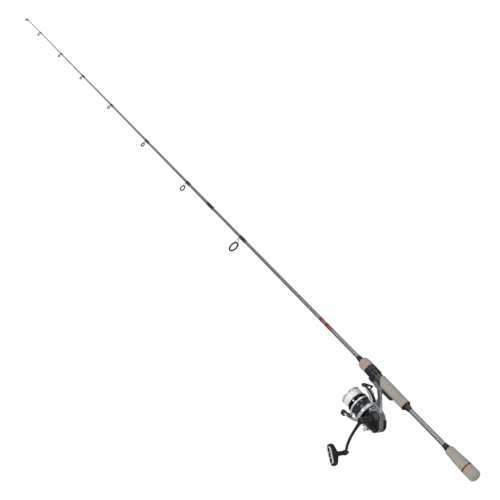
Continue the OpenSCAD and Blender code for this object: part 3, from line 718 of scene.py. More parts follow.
def trim_ring(x0, x1, outer, inner):
    """Ring with a shallow groove round its middle."""
    width = x1 - x0
    groove = outer - 0.22
    return soft([(x0, inner), (x0, outer - 0.35), (x0 + 0.35, outer),
                 (x0 + width * 0.36, outer), (x0 + width * 0.42, groove),
                 (x0 + width * 0.58, groove), (x0 + width * 0.64, outer),
                 (x1 - 0.35, outer), (x1, outer - 0.35), (x1, inner)], 0.15)


def grip(x0, x1, start_r, end_r, swell, round_length, round_depth, bore, steps):
    """Foam grip: eased from start_r to end_r, swollen mid-way, rounded down at x1."""
    length = x1 - x0

    def radius(t): return start_r + (end_r - start_r) * ease(t) + swell * math.sin(PI * t)

    profile = [(x0, bore), (x0, start_r - 0.6), (x0 + 0.25, start_r - 0.15), (x0 + 0.7, start_r)]
    for i in range(1, steps):
        along = (length - round_length) * i / steps
        profile.append((x0 + along, radius(along / length)))
    for i in range(11):
        a = PI / 2 * i / 10
        profile.append((x1 - round_length + round_length * math.sin(a),
                        radius(1 - round_length / length * (1 - math.sin(a)))
                        - round_depth * (1 - math.cos(a))))
    return profile + [(x1, bore)]


def winding_check(x0, x1, wide, narrow, bore):
    """Rubber cone, wide at x0."""
    length, drop = x1 - x0, wide - narrow
    return soft([(x0, bore), (x0, wide - 0.4), (x0 + 0.4, wide),
                 (x0 + 0.2 * length, wide - 0.1 * drop),
                 (x0 + 0.35 * length, wide - 0.36 * drop),
                 (x0 + 0.5 * length, narrow + 0.42 * drop),
                 (x0 + 0.7 * length, narrow + 0.18 * drop),
                 (x1 - 0.8, narrow), (x1, narrow - 0.25), (x1, bore)], 0.25)


def winding_checks():
    x0, x1 = 202.1, 215.9
    front = [(x0 + x1 - x, r) for x, r in winding_check(x0, x1, 8.4, 5.8, 5.15)][::-1]
    profiles = (winding_check(84.1, 98, 7.8, 5.95, 5.45), front)
    parts = [lathe("check", profile, "black_rubber") for profile in profiles]
    place(join("winding_checks_look", parts), ROD)


def accent_bands():
    bands = []
    for x, width in ((470, 24), (503, 12)):
        end = x + width
        profile = [(x, butt_radius(x) + 0.03), (x, butt_radius(x) + 0.28),
                   (end, butt_radius(end) + 0.28), (end, butt_radius(x) + 0.03)]
        bands.append(lathe("band", soft(profile, 0.12), "accent", n=72))
    place(join("accent_bands_look", bands), ROD)


TURN_DEPTH = 0.05       # every other station of a wrap is this much lower


def wrap(x0, x1, start_r, end_r, n):
    """Turns of thread under a coat that swells to 1 mm over 2.4 mm at each end."""
    length = x1 - x0
    steps = max(24, int(length / 0.25))
    profile = [(x0, start_r + 0.03)]
    for i in range(steps + 1):
        t = i / steps
        swell = min(ease(min(1, t * length / 2.4)), ease(min(1, (1 - t) * length / 2.4)))
        radius = start_r + (end_r - start_r) * t + 0.2 + 0.8 * swell
        profile.append((x0 + length * t, radius - (TURN_DEPTH if i % 2 else 0.0)))
    profile.append((x1, start_r + 0.03))
    return lathe("wrap", profile, "thread", n=n, sharp=0)


def ferrule_wrap():
    start, length, steps, inner = 955.5, 26.5, 60, 3.87
    profile = [(start, inner)]
    for i in range(steps + 1):
        radius = 4.15 + 0.3 * min(1, i / 4) - 0.45 * ease(max(0, (i - 48) / 12))
        profile.append((start + length * i / steps, radius - (TURN_DEPTH if i % 2 else 0)))
    profile.append((start + length, inner))
    place(lathe("ferrule_wrap_look", profile, "thread", n=72, sharp=0), ROD)


def guide(x, rod_r, drop, ring_r, width, foot, wire):
    """Parts of a guide: ring frame drop below the rod axis, two bent legs, web, flat foot."""
    frame_profile = soft([(-width / 2, ring_r - 0.9), (-width / 2, ring_r - 0.25),
                          (-width / 4, ring_r), (width / 4, ring_r),
                          (width / 2, ring_r - 0.25), (width / 2, ring_r - 0.9)], 0.2)
    parts = [lathe("guide", frame_profile, "guide_metal", at(x, 0, -drop), n=72)]
    foot_z = -rod_r - 0.55
    for side in (-1, 1):
        top = Vector((x, side * (ring_r - 0.4) * 0.6, -drop + (ring_r - 0.4) * 0.8))
        rise = top.z - foot_z
        leg = spline([(x - foot * 0.8, side * 0.42, foot_z), (x - 2.2, side * 0.42, foot_z),
                      (x - 1.1, side * 0.55, foot_z - 0.45),
                      (x - 0.6, side * (0.6 + ring_r * 0.12), foot_z + rise * 0.3),
                      (x - 0.25, side * (0.6 + ring_r * 0.36), foot_z + rise * 0.68), top], 7)
        parts.append(tube("guide", leg, wire, "guide_metal", n=12))
    web = [(x - 1.0, -0.7, foot_z - 0.9 - ring_r * 0.05),
           (x - 1.0, 0, foot_z - 1.0 - ring_r * 0.05),
           (x - 1.0, 0.7, foot_z - 0.9 - ring_r * 0.05)]
    parts.append(tube("guide", web, wire * 0.8, "guide_metal", n=10))
    sole = [(x - foot + (foot - 1.0) * i / 12, 0, foot_z + 0.02) for i in range(13)]
    radii = [1.0 * (0.35 + 0.65 * ease(min(1, i / 5))) for i in range(13)]
    parts.append(tube("guide", sole, radii, "guide_metal", n=14, flat=0.3, up=(0, 0, 1)))
    return parts


def stripper_guide():
    """The largest guide, on the butt section."""
    x, drop = 838.4, 32.6
    parts = guide(x, butt_radius(838), drop, ring_r=14.4, width=2.4, foot=23, wire=0.62)
    place(join("stripper_frame_look", parts), ROD)
    ring = [(-1.7, 10.8), (-0.9, 10.32), (0.9, 10.32), (1.7, 10.8), (1.7, 11.8), (1.1, 13.47),
            (-1.1, 13.47), (-1.7, 11.8)]
    place(lathe("stripper_ring_look", soft(ring, 0.5, 4), "ceramic", at(x, 0, -drop)),
          ROD)


butt_blank()
butt_cap()
butt_trims = [lathe("trim", trim_ring(28.3, 31.6, 13.3, 5.6), "copper"),
              lathe("trim", trim_ring(216, 218.4, 11.6, 5.2), "copper")]
place(join("trim_rings_look", butt_trims), ROD)
rear_grip = grip(31.7, 84, start_r=13.3, end_r=10.6, swell=0, round_length=3.5,
                 round_depth=1.8, bore=5.6, steps=30)
place(lathe("rear_grip_look", rear_grip, "foam"), ROD)
winding_checks()
place(moulded("reel_seat", "seat_plastic", cell=0.42, passes=2), ROD)
place(moulded("seat_grip", "foam", cell=0.5, passes=4), ROD)
accent_bands()
stripper_wrap = wrap(812.4, 836.8, butt_radius(812), butt_radius(836), n=72)
place(join("stripper_wraps_look", [stripper_wrap]), ROD)
ferrule_wrap()
stripper_guide()

# ------------------------------------------------------------------ rod, tip section
# guides: x, ring centre below the rod axis, frame radius, foot length, leg wire radius,
# ring thickness
GUIDES = [
    (1081, 21.4, 8.5, 16, 0.55, 2.2),
    (1284, 16.1, 6.4, 15, 0.55, 2.2),
    (1471.6, 12.4, 4.4, 13, 0.46, 1.3),
    (1632.5, 10.4, 4.0, 13, 0.46, 1.3),
    (1764, 10.1, 4.0, 10.5, 0.46, 1.3),
    (1895, 9.9, 3.6, 10.5, 0.46, 1.3),
]
TIP_TOP_X, TIP_TOP_DROP = 1979.8, 4.4


def tip_blank():
    end, steps = 1978, 80
    stations = [JOINT_X + 10 * i for i in range(10)]
    stations += [SLEEVE_END + i * (end - SLEEVE_END) / steps for i in range(steps + 1)]
    profile = [(JOINT_X, 3.0)]
    profile += [(x, tip_radius(x) if x > JOINT_X else 3.82) for x in stations]
    profile += [(end, 0.3), (1500, 1.0), (1031, 2.0), (1029, 2.85)]
    place(lathe("tip_blank_look", soft(profile, 0.15), "blank", n=64), TIP)


def tip_guides():
    frames = [guide(x, tip_radius(x), drop, ring_r, 1.8, foot, wire)
              for x, drop, ring_r, foot, wire, _ in GUIDES]
    place(join("guide_frame_2_look", frames[0]), TIP)
    place(join("guide_frame_3_look", frames[1]), TIP)
    place(join("small_guide_frames_look", sum(frames[2:], [])), TIP)

    rings, wraps = [], []
    for x, drop, ring_r, _, _, thick in GUIDES:
        r = ring_r - 0.92
        ring = [(-1.2, r - thick + 0.5), (-0.5, r - thick), (0.5, r - thick),
                (1.2, r - thick + 0.5), (1.2, r - 0.6), (0.8, r), (-0.8, r), (-1.2, r - 0.6)]
        rings.append(lathe("ring", soft(ring, 0.35), "ceramic", at(x, 0, -drop), n=72))
    place(join("guide_rings_look", rings), TIP)

    for x, _, _, foot, _, _ in GUIDES:
        x0, x1 = x - foot - 3, x - 1.6
        wraps.append(wrap(x0, x1, tip_radius(x0), tip_radius(x1), n=56))
    place(join("tip_wraps_look", wraps), TIP)


def tip_top():
    ring_at = at(TIP_TOP_X, 0, -TIP_TOP_DROP)
    sleeve = [(1965, 1.07), (1965, 1.5), (1965.6, 1.7), (1979.2, 1.7), (1979.6, 1.4),
              (1979.6, 1.07)]
    holder = [(-0.8, 2.2), (-0.8, 2.9), (-0.4, 3.1), (0.4, 3.1), (0.8, 2.9), (0.8, 2.2)]
    parts = [lathe("top", soft(sleeve, 0.2), "guide_metal", n=48),
             lathe("top", soft(holder, 0.2), "guide_metal", ring_at, n=56)]
    for side in (-1, 1):
        leg = spline([(1969, side * 1.2, -1.3), (1972.5, side * 1.35, -1.7),
                      (1976.5, side * 1.7, -2.3), (TIP_TOP_X, side * 2.35, -2.95)], 6)
        parts.append(tube("top", leg, 0.45, "guide_metal", n=12))
    place(join("tip_top_look", parts), TIP)
    ring = [(-1, 1.75), (-0.4, 1.5), (0.4, 1.5), (1, 1.75), (1, 2), (0.6, 2.18), (-0.6, 2.18),
            (-1, 2)]
    place(lathe("tip_top_ring_look", soft(ring, 0.3), "ceramic", ring_at, n=56), TIP)


tip_blank()
tip_guides()
tip_top()


# ------------------------------------------------------------------ reel clamp
def flute(x, r, angle):
    """24 flutes round the widest part of the nut."""
    if r < 13.0 or x < 327.3 or x > 337.0:
        return r
    from_middle = abs((angle * 24 / (2 * PI)) % 1.0 - 0.5) * 2
    return r - 0.62 * (1 - ease(min(1, from_middle / 0.62)))


def lock_nut():
    profile = [(326.15, 11.4), (326.15, 12.8), (326.6, 13.3), (327.2, 13.5), (328.0, 13.5)]
    profile += [(328.6 + i, 13.52) for i in range(8)]
    profile += [(336.6, 13.55), (337.2, 13.58), (337.6, 13.45), (337.88, 13.0), (337.9, 12.0),
                (346, 12.0), (355.4, 12.0), (355.4, 11.42), (340, 11.42)]
    place(lathe("lock_nut_look", profile, "black_plastic", n=288, reshape=flute, sharp=50),
          NUT)


def foregrip():
    """Grip with a counterbore that takes the sleeve of the lock nut."""
    x0, bore, counterbore_end, counterbore = 340.7, 6.35, 355.9, 12.04
    profile = grip(x0, 364, start_r=13.2, end_r=12.9, swell=0.5, round_length=8,
                   round_depth=3.2, bore=bore, steps=16)[1:]
    profile += [(counterbore_end, bore), (counterbore_end, counterbore), (x0, counterbore)]
    place(lathe("foregrip_look", profile, "foam"), NUT)


FRONT_COLLAR = [
    (364.1, 4.85), (364.1, 7.2), (364.6, 7.6), (365.2, 7.7), (366.5, 7.3), (368, 6.9),
    (370, 6.5), (372, 6.2), (375, 5.9), (377.4, 5.7), (378, 5.4), (378, 4.85),
]

place(moulded("sliding_hood", "black_plastic", cell=0.36, passes=3), "hood")
lock_nut()
place(lathe("foregrip_ring_look", trim_ring(338, 340.6, 13.2, 12.05), "copper"), NUT)
foregrip()
place(lathe("front_collar_look", soft(FRONT_COLLAR, 0.2), "black_rubber"), NUT)

# ------------------------------------------------------------------ reel body
# middle line of the stem seen from the side, (x, z) from the foot down
STEM = [(291, -17), (284, -26), (277.3, -34), (271, -46), (266, -57)]
# the side cover's outline is a tapered capsule: (x, z) and radius at each end
COVER_A, COVER_A_R = (260.0, -77.0), 22
COVER_B, COVER_B_R = (245.5, -83.0), 14
CHANNEL_INSET, CHANNEL_WIDTH = 2.6, 1.8     # channel round the side cover


def reel_body():
    """Case and stem; the stem's flanks are sunk 0.9 mm along its middle and painted dark."""
    obj = moulded("reel_body", "body_grey", cell=0.48, passes=5)
    for vertex in obj.data.vertices:
        x, y, z = in_mm(vertex.co)
        if -53 < z < -21:
            distance, along = distance_to(x, z, STEM)
            half = 2.8 + 3.6 * along
            if distance < half:
                sink = (ease(min(1, (half - distance) / 1.6)) * ease(min(1, (z + 53) / 5))
                        * ease(min(1, (-21 - z) / 5)))
                vertex.co.y = (y - math.copysign(0.9 * sink, y) if abs(y) > 1.4 else y) * MM
    obj.data.materials.append(MATERIALS["body_dark"])
    obj.data.materials.append(MATERIALS["body_black"])
    for face in obj.data.polygons:
        x, _, z = in_mm(face.center)
        if -54 < z < -20:
            distance, along = distance_to(x, z, STEM)
            flank = distance < 2.5 + 3.4 * along and abs(face.normal.y) > 0.5
            face.material_index = 1 if flank else 0
        if x > 277 and z < -54:                 # front of the case
            face.material_index = 2
    place(obj, ROD)


def cover_inset(x, z):
    """Distance in from the side cover's outline."""
    (ax, az), (bx, bz) = COVER_A, COVER_B
    dx, dz = bx - ax, bz - az
    best = -1e9
    for i in range(41):
        t = i / 40
        radius = COVER_A_R + (COVER_B_R - COVER_A_R) * t
        best = max(best, radius - math.hypot(x - ax - dx * t, z - az - dz * t))
    return best


def side_cover():
    """Cover with a channel inside its rim and a slightly sunk, duller middle."""
    obj = moulded("side_cover", "body_black", cell=0.4, passes=4)
    for vertex in obj.data.vertices:
        x, y, z = in_mm(vertex.co)
        if y > 14.2 and math.hypot(x - HANDLE_X, z - HANDLE_Z) > 14.2:
            inset = cover_inset(x, z)
            if CHANNEL_INSET < inset < CHANNEL_INSET + CHANNEL_WIDTH:
                across = (inset - CHANNEL_INSET) / CHANNEL_WIDTH
                vertex.co.y -= 0.45 * MM * math.sin(PI * across)
            elif inset > 5.2:
                vertex.co.y -= 0.35 * MM * ease(min(1, (inset - 5.2) / 1.5))
    obj.data.materials.append(MATERIALS["black_plastic"])
    for face in obj.data.polygons:
        x, y, z = in_mm(face.center)
        off_hub = math.hypot(x - HANDLE_X, z - HANDLE_Z) > 14.6
        if cover_inset(x, z) > 5.6 and off_hub and face.normal.y > 0.6 and 13.6 < y < 15.2:
            face.material_index = 1
    place(obj, ROD)


def rear_cap():
    """Black, and painted grey on the handle side (+Y)."""
    obj = moulded("rear_cap", "body_black", cell=0.4, passes=4)
    obj.data.materials.append(MATERIALS["body_grey"])
    for face in obj.data.polygons:
        if face.center.y / MM > 1.0:
            face.material_index = 1
    place(obj, ROD)


def case_trim():
    """Bright wire over the top of the case front, ending on the side cover's upper edge."""
    radius = 23.3
    angles = [math.radians(degrees) for degrees in range(170, 49, -10)]
    path = [(277.0, radius * math.cos(a), SPOOL_Z + radius * math.sin(a)) for a in angles]
    path += [(275.6, 15.6, -62.6), (271.6, 15.4, -59.6), (265.5, 15.3, -56.6)]
    place(tube("case_trim", spline(path, 5), 0.75, "silver", n=12), ROD)


reel_body()
side_cover()
rear_cap()
case_trim()
place(from_cad("cover_screws", "steel_y"), ROD)
place(from_cad("pinion_bearing", "steel"), ROD)
place(from_cad("drive_bearings", "steel_y"), ROD)
place(from_cad("one_way_clutch", "dark_chrome"), ROD)

# ------------------------------------------------------------------ crank
# profiles about the handle axis; their x is frame Y
HANDLE_COLLAR = [
    (21.6, 0), (21.6, 7.0), (21.9, 7.6), (22.4, 8.5), (23.4, 8.9), (26, 9.0), (27.0, 8.9),
    (27.3, 8.55), (28.0, 8.55), (28.3, 8.85), (30, 8.75), (34, 8.4), (40, 7.8), (46, 7.2),
    (47.4, 7.1), (47.7, 6.7), (48.6, 6.7), (48.9, 7.05), (50.4, 7.0), (50.9, 6.7), (50.9, 0),
]
HANDLE_SCREW = [
    (-11.4, 0), (-11.4, 3.9), (-12.1, 3.9), (-12.1, 6.9), (-12.4, 7.3), (-13.0, 7.4),
    (-13.8, 7.4), (-14.6, 7.4), (-15.2, 7.2), (-15.7, 6.8), (-16.3, 6.3), (-16.8, 5.6),
    (-16.8, 4.4), (-16.4, 4.1), (-16.4, 1.5), (-16.4, 0),
]
ARM_BOSS = [(51, 0), (51, 6.9), (51.5, 7.4), (59.4, 7.4), (60.4, 7.0), (61.2, 5.8), (61.8, 4.6),
            (61.8, 0)]
ARM_EYE = [(55.7, 2.1), (55.7, 4.4), (56.3, 4.8), (60.2, 4.8), (60.8, 4.4), (60.8, 2.1)]


def crank_arm():
    """Oval bar that leans out and thins, with a boss at the hub and an eye at the knob."""
    hub_x, hub_z = HANDLE_X, HANDLE_Z
    path = spline([(hub_x, 56, hub_z + 2.0), (hub_x - 0.1, 56.1, hub_z - 8),
                   (hub_x - 0.4, 56.7, hub_z - 22), (hub_x - 0.9, 57.2, hub_z - 36),
                   (hub_x - 3.2, 57.9, hub_z - 53), (hub_x - 6.5, 58.2, hub_z - 66),
                   (hub_x - 10.5, 58.3, hub_z - 75), (KNOB_X, 58.3, KNOB_Z + 1)], 8)
    count = len(path)
    radii = [5.0 - 1.6 * ease(min(1, i / (count * 0.35))) for i in range(count)]
    parts = [tube("arm", path, radii, "black_plastic", n=32, flat=0.66, up=(0, 1, 0)),
             lathe("arm", soft(ARM_BOSS, 0.6, 4, False), "black_plastic", AT_HANDLE,
                   closed=False),
             lathe("arm", soft(ARM_EYE, 0.5, 4), "black_plastic",
                   at(KNOB_X, 0, KNOB_Z) @ X_TO_Y)]
    place(voxel(join("crank_arm_look", parts), 0.4, 5), CRANK)


def knurl(x, r, angle):
    return r - (0.28 * (0.5 + 0.5 * math.cos(angle * 40)) if r > 7.0 else 0)


place(from_cad("drive_gear", "brass"), CRANK)
place(lathe("handle_collar_look", soft(HANDLE_COLLAR, 0.2, closed=False), "black_plastic",
            AT_HANDLE, closed=False), CRANK)
crank_arm()
place(from_cad("knob_pin", "steel_y"), CRANK)
place(lathe("handle_screw_look", HANDLE_SCREW, "dark_chrome", AT_HANDLE, n=240, closed=False,
            reshape=knurl), CRANK)

# ------------------------------------------------------------------ knob
# sections: y, half length between end centres, end radius
KNOB_SECTIONS = [
    (61.9, 0.01, 5.9), (62.2, 0.01, 6.3), (63.6, 0.01, 6.2), (65.6, 0.01, 5.2),
    (67.5, 0.01, 4.9), (77, 0.01, 4.9), (86.5, 0.2, 4.9), (90, 1.2, 5.0), (93.5, 4.6, 5.3),
    (96.5, 9.8, 5.7), (99.2, 14.6, 6.1), (101.5, 16.9, 6.4), (104.5, 17.5, 6.5),
    (108.5, 17.5, 6.5), (110.6, 17.5, 6.35), (111.9, 17.3, 5.9), (112.7, 17.0, 5.3),
    (113.0, 16.6, 4.6),
]
CAP_HALF = 13.5
CAP_SECTIONS = [
    (113.1, CAP_HALF, 4.8), (113.2, CAP_HALF, 5.3), (113.7, CAP_HALF, 5.4),
    (114.3, CAP_HALF, 5.35), (114.9, CAP_HALF, 5.0), (115.2, CAP_HALF, 4.7),
]


def knob_outline(section):
    """Capsule pinched a little in the middle."""
    _, half, radius = section
    waist = 0.14 * min(1, half / 12)
    return [(x, z * (1 - waist * math.exp(-(x / 9) ** 2)))
            for x, z in capsule(-half, half, radius, 96)]


def knob():
    sections = []
    for here, following in zip(KNOB_SECTIONS, KNOB_SECTIONS[1:]):
        for k in range(4):
            t = k / 4
            weights = (t, ease(t) * 0.5 + t * 0.5, ease(t) * 0.5 + t * 0.5)
            sections.append(tuple(a + (b - a) * w for a, b, w in zip(here, following, weights)))
    sections.append(KNOB_SECTIONS[-1])
    obj = stack("knob_look", sections, knob_outline, "knob_black", AT_KNOB, sharp=50)
    # finger ribs on both long edges of the grip
    pitch, depth = 2.8, 0.22
    to_knob = AT_KNOB.inverted()
    turn = AT_KNOB.to_3x3()
    for vertex in obj.data.vertices:
        p = to_knob @ (vertex.co / MM)
        if 99 < p.y < 111 and abs(p.z) > 4.4:
            inward = turn @ Vector((0, 0, -math.copysign(1, p.z)))
            vertex.co += inward * depth * MM * (0.5 + 0.5 * math.cos(p.x * 2 * PI / pitch))
    place(obj, KNOB)


def knob_cap():
    """Bright frame with a rim and two cross ribs."""
    parts = [stack("cap", CAP_SECTIONS, lambda s: capsule(-s[1], s[1], s[2], 96), "silver_y",
                   AT_KNOB)]
    rim = [(x, 115.25, z) for x, z in capsule(-CAP_HALF, CAP_HALF, 3.95, 64)]
    parts.append(tube("cap", rim + rim[:1], 0.75, "silver_y", AT_KNOB, n=12))
    for x in (-5.4, 5.4):
        rib = [(x, 115.15, -3.9), (x, 115.3, -2), (x, 115.35, 0), (x, 115.3, 2),
               (x, 115.15, 3.9)]
        parts.append(tube("cap", rib, 0.62, "silver_y", AT_KNOB, n=12))
    place(join("knob_cap_look", parts), KNOB)


def knob_windows():
    """Three dark windows inside the cap frame."""
    windows = []
    for centre, half in ((-11.2, 2.6), (0.0, 2.9), (11.2, 2.6)):
        def outline(section):
            return [(x + centre, z) for x, z in capsule(-section[1], section[1], section[2], 48)]

        sections = [(115, half, 2.6), (115.45, half, 2.75), (115.62, half, 2.5)]
        windows.append(stack("window", sections, outline, "ceramic", AT_KNOB))
    place(join("knob_cap_windows", windows), KNOB)


knob()
knob_cap()
knob_windows()

# ------------------------------------------------------------------ rotor
# middle line of each rotor arm, (x, distance from the axis)
ROTOR_ARM = [(287, 27.5), (292, 30.3), (298, 33.0), (306, 35.6), (313, 37.4), (318, 38.3)]
ROTOR_RING = [
    (280.6, 23.6), (280.6, 26.2), (281.0, 26.9), (281.9, 27.25), (283.4, 27.35),
    (284.4, 27.35), (284.4, 22.3), (282.9, 22.3), (282.9, 23.6),
]
# bright band up the side of an arm: x, y, z for the +Y side of the upper arm
ARM_BAND = [
    (287.4, 8.8, 28.6), (291.0, 7.4, 31.6), (297, 7.0, 34.9), (303, 6.9, 37.0),
    (310, 6.8, 38.6), (318, 6.7, 39.8),
]
ARM_CAP = [
    (37.0, 2.05), (37.0, 5.12), (38.5, 5.12), (38.8, 4.8), (38.8, 3.6), (38.55, 3.4),
    (38.55, 2.05),
]


def rotor():
    obj = moulded("rotor", "rotor_dark", cell=0.46, passes=6)
    black, silver = 1, 2
    obj.data.materials.append(MATERIALS["body_black"])
    obj.data.materials.append(MATERIALS["silver"])
    to_rotor = AT_ROTOR.inverted()
    turn = to_rotor.to_3x3()
    for face in obj.data.polygons:
        q = to_rotor @ (face.center / MM)
        normal = turn @ face.normal
        radius = math.hypot(q.y, q.z)
        if radius < 21.4 and q.x > 297:                     # inside of the cup
            face.material_index = black
        elif q.x < 285.6 and radius > 20:                   # rear flange
            face.material_index = silver if radius > 25.5 else black
        elif radius > 27.6 and q.x < 324 and abs(normal.y) > 0.35 and abs(q.y) > 3.5:
            # sides of the arms, with a dark line along the middle: painted shade standing in for
            # a slot
            distance, _ = distance_to(q.x, abs(q.z), ROTOR_ARM)
            face.material_index = black if distance < 0.95 and 290 < q.x < 317 else silver
    place(obj, ROTOR)


def rotor_trim():
    """Ring behind the rotor, and on both sides a band round the flange and up each arm."""
    parts = [lathe("trim", soft(ROTOR_RING, 0.25), "silver", AT_ROTOR, n=144)]
    for side in (1, -1):
        for up in (1, -1):
            path = []
            for i in range(12):
                a = math.radians(2 + 62 * i / 11)
                r = 27.2 + 0.5 * i / 11
                path.append((285.0 + 0.8 * i / 11, side * r * math.cos(a), up * r * math.sin(a)))
            path += [(x, side * y, up * z) for x, y, z in ARM_BAND]
            path = spline(path, 4)
            count = len(path)
            radii = [1.9 - 1.1 * ease(max(0, (i / count - 0.4) / 0.6)) for i in range(count)]
            parts.append(tube("trim", path, radii, "silver", AT_ROTOR, n=14))
    place(join("rotor_trim_look", parts), ROTOR)


def arm_caps():
    caps = []
    for turn in (0, PI):
        matrix = AT_ROTOR @ Matrix.Rotation(turn, 4, "X") @ at(PIVOT_X) @ X_TO_Z
        caps.append(lathe("cap", soft(ARM_CAP, 0.2), "dark_chrome", matrix))
    place(join("arm_caps_look", caps), ROTOR)


rotor()
rotor_trim()
place(from_cad("pinion_gear", "brass_x"), ROTOR)
place(from_cad("rotor_nut", "steel", bevel=0.25), ROTOR)
place(from_cad("bail_spring", "steel"), ROTOR)
arm_caps()

# ------------------------------------------------------------------ bail
BAIL_RADIUS = 33
LINE_ROLLER = [
    (-41.0, 1.56), (-41.0, 4.2), (-40.4, 4.3), (-38.8, 3.4), (-37.8, 3.2), (-36.8, 3.4),
    (-35.4, 4.1), (-34.9, 4.0), (-34.9, 1.56),
]


def ball(r, centre):
    arc = [(centre - r * math.cos(PI * i / 20), r * math.sin(PI * i / 20)) for i in range(1, 20)]
    profile = [(centre - r, 0)] + arc + [(centre + r, 0)]
    return lathe("ball", profile, "dark_chrome", AT_ROLLER, n=48, closed=False)


def bail_wire():
    """Half hoop of wire with a ball at each end."""
    angles = [PI * i / 72 for i in range(73)]
    path = [(BAIL_ARM + BAIL_RADIUS * math.sin(a), 0, -BAIL_RADIUS * math.cos(a))
            for a in angles]
    parts = [tube("wire", path, 0.845, "dark_chrome", AT_BAIL, n=20),
             ball(1.6, -33.2), ball(1.9, 33.0)]
    place(join("bail_wire_look", parts), BAIL)


place(moulded("bail_arm", "dark_chrome", cell=0.3, passes=4), BAIL)
place(moulded("bail_ear", "dark_chrome", cell=0.3, passes=4), BAIL)
bail_wire()
place(lathe("line_roller_look", soft(LINE_ROLLER, 0.5, 4), "silver", AT_ROLLER, n=72),
      "roller")

# ------------------------------------------------------------------ shaft, spool, drag
SPOOL_PROFILE = [
    (308, 23.6), (308, 24.5), (308.4, 24.95), (311.2, 25), (311.5, 24.75), (312.0, 24.75),
    (312.3, 25), (318.3, 25), (319.1, 24.8), (320, 24.1), (321.4, 21.2), (322.6, 18.4),
    (323, 17.5), (339.2, 17.5), (340.2, 18.6), (340.2, 21), (341.6, 21), (341.6, 14.4),
    (330, 14.4), (330, 1.84), (312.5, 1.84), (312.5, 7.2), (319.8, 7.2), (319.8, 22.4),
    (318.6, 23.6),
]
SPOOL_LIP = [
    (340.25, 21.05), (340.25, 22.5), (341.6, 23.3), (342.4, 23.7), (343.1, 23.65),
    (343.6, 22.9), (343.8, 21.6), (342.6, 18), (341.65, 15), (341.65, 21.05),
]
DRAG_KNOB = [
    (338, 1.9), (338, 12.0), (338.5, 12.5), (339.4, 12.6), (341, 12.6), (342.5, 12.55),
    (343.8, 12.1), (345, 11.4), (346, 10.7), (347.2, 9.2), (348.2, 7.4), (348.9, 5.2),
    (349.3, 3.0), (349.4, 1.5), (349.4, 0), (348, 0), (348, 1.9),
]
# grip bar across the drag knob: y, half length, end radius
DRAG_BAR = [
    (-9.4, 2.4, 1.1), (-9.0, 2.9, 1.5), (-5, 3.4, 1.6), (0, 3.6, 1.6), (5, 3.4, 1.6),
    (9.0, 2.9, 1.5), (9.4, 2.4, 1.1),
]
SPOOL_HOLES, HOLE_X, HOLE_RADIUS = 18, 315.4, 1.55


def spool():
    """Turned spool with a ring of holes through its skirt and two bright edges."""
    obj = lathe("spool_look", soft(SPOOL_PROFILE, 0.18, 2), "spool_metal", AT_SPOOL, n=180)
    drills = []
    for i in range(SPOOL_HOLES):
        turn = Matrix.Rotation(2 * PI * i / SPOOL_HOLES, 4, "X")
        drills.append(lathe("drill", [(20, 0), (20, HOLE_RADIUS), (28, HOLE_RADIUS), (28, 0)],
                            "spool_metal", AT_SPOOL @ turn @ at(HOLE_X) @ X_TO_Z, n=28,
                            closed=False))
    cutter = join("cutter", drills)
    holes = obj.modifiers.new("holes", "BOOLEAN")
    holes.operation = "DIFFERENCE"
    holes.object = cutter
    holes.solver = "EXACT"
    bake(obj)
    bpy.data.objects.remove(cutter)
    smooth_shade(obj, sharp=34)
    obj.data.materials.append(MATERIALS["silver"])
    for face in obj.data.polygons:
        q = face.center / MM
        radius = math.hypot(q.y, q.z - SPOOL_Z)
        if (q.x < 312.1 and radius > 23.2) or (q.x > 340.1 and radius > 18.5):
            face.material_index = len(obj.data.materials) - 1
    place(obj, SPOOL)


def wound(x, r, angle):
    """Fine turns of line, crossed by coarser ones, on a slightly bulging pack."""
    if r < 21.2:
        return r
    turn = angle / (2 * PI)
    return (r + 0.16 * math.sin(2 * PI * (x / 0.62 + turn))
            + 0.1 * math.sin(2 * PI * (x / 1.9 - 2 * turn)) - 0.16
            + 0.12 * math.sin(PI * (x - 323.3) / 15.8))


def line_pack():
    profile = [(323.3, 17.55), (323.3, 20.6), (323.4, 21.4), (323.8, 22.1)]
    profile += [(324.2 + 14.2 * i / 138, 22.55) for i in range(139)]
    profile += [(338.8, 22.1), (339.05, 21.4), (339.1, 20.6), (339.1, 17.55)]
    place(lathe("line_pack_look", profile, "line", AT_SPOOL, n=160, reshape=wound, sharp=0),
          SPOOL)


def scallop(x, r, angle):
    """18 scallops round the edge of the drag knob."""
    if r > 10.5 and 338.6 < x < 346:
        return r - 0.4 * (0.5 + 0.5 * math.cos(angle * 18)) * min(1, (r - 10.5) / 1.5)
    return r


def bar_outline(section):
    """Capsule that reaches further towards the spool than away from it."""
    _, half, radius = section
    return [(x + 346.2, z + SPOOL_Z)
            for x, z in capsule(-half * 0.7, half * 0.45, radius, 48)]


def drag_knob():
    parts = [lathe("drag", DRAG_KNOB, "body_black", AT_SPOOL, n=216, closed=False,
                   reshape=scallop, sharp=60),
             stack("drag", DRAG_BAR, bar_outline, "dark_chrome")]
    place(join("drag_knob_look", parts), "drag")


place(from_cad("main_shaft", "steel"), SHAFT)
place(from_cad("slider", "white_plastic", bevel=0.3), SHAFT)
spool()
place(lathe("spool_lip_look", soft(SPOOL_LIP, 0.35), "silver", AT_SPOOL, n=180),
      SPOOL)
line_pack()
place(from_cad("line_clip", "silver", bevel=0.15), SPOOL)
place(from_cad("drag_washers", "washer"), SPOOL)
drag_knob()
place(from_cad("oscillation_gear", "white_plastic"), "osc")
place(moulded("anti_reverse_lever", "silver", cell=0.22, passes=4), "lever")

# CAD nodes that still show are plain steel
for node in frame["nodes"].values():
    if not node.hide_render:
        node.data.materials.clear()
        node.data.materials.append(MATERIALS["steel"])

# ------------------------------------------------------------------ studio (metres from here on)
FLOOR_GAP = 0.0015
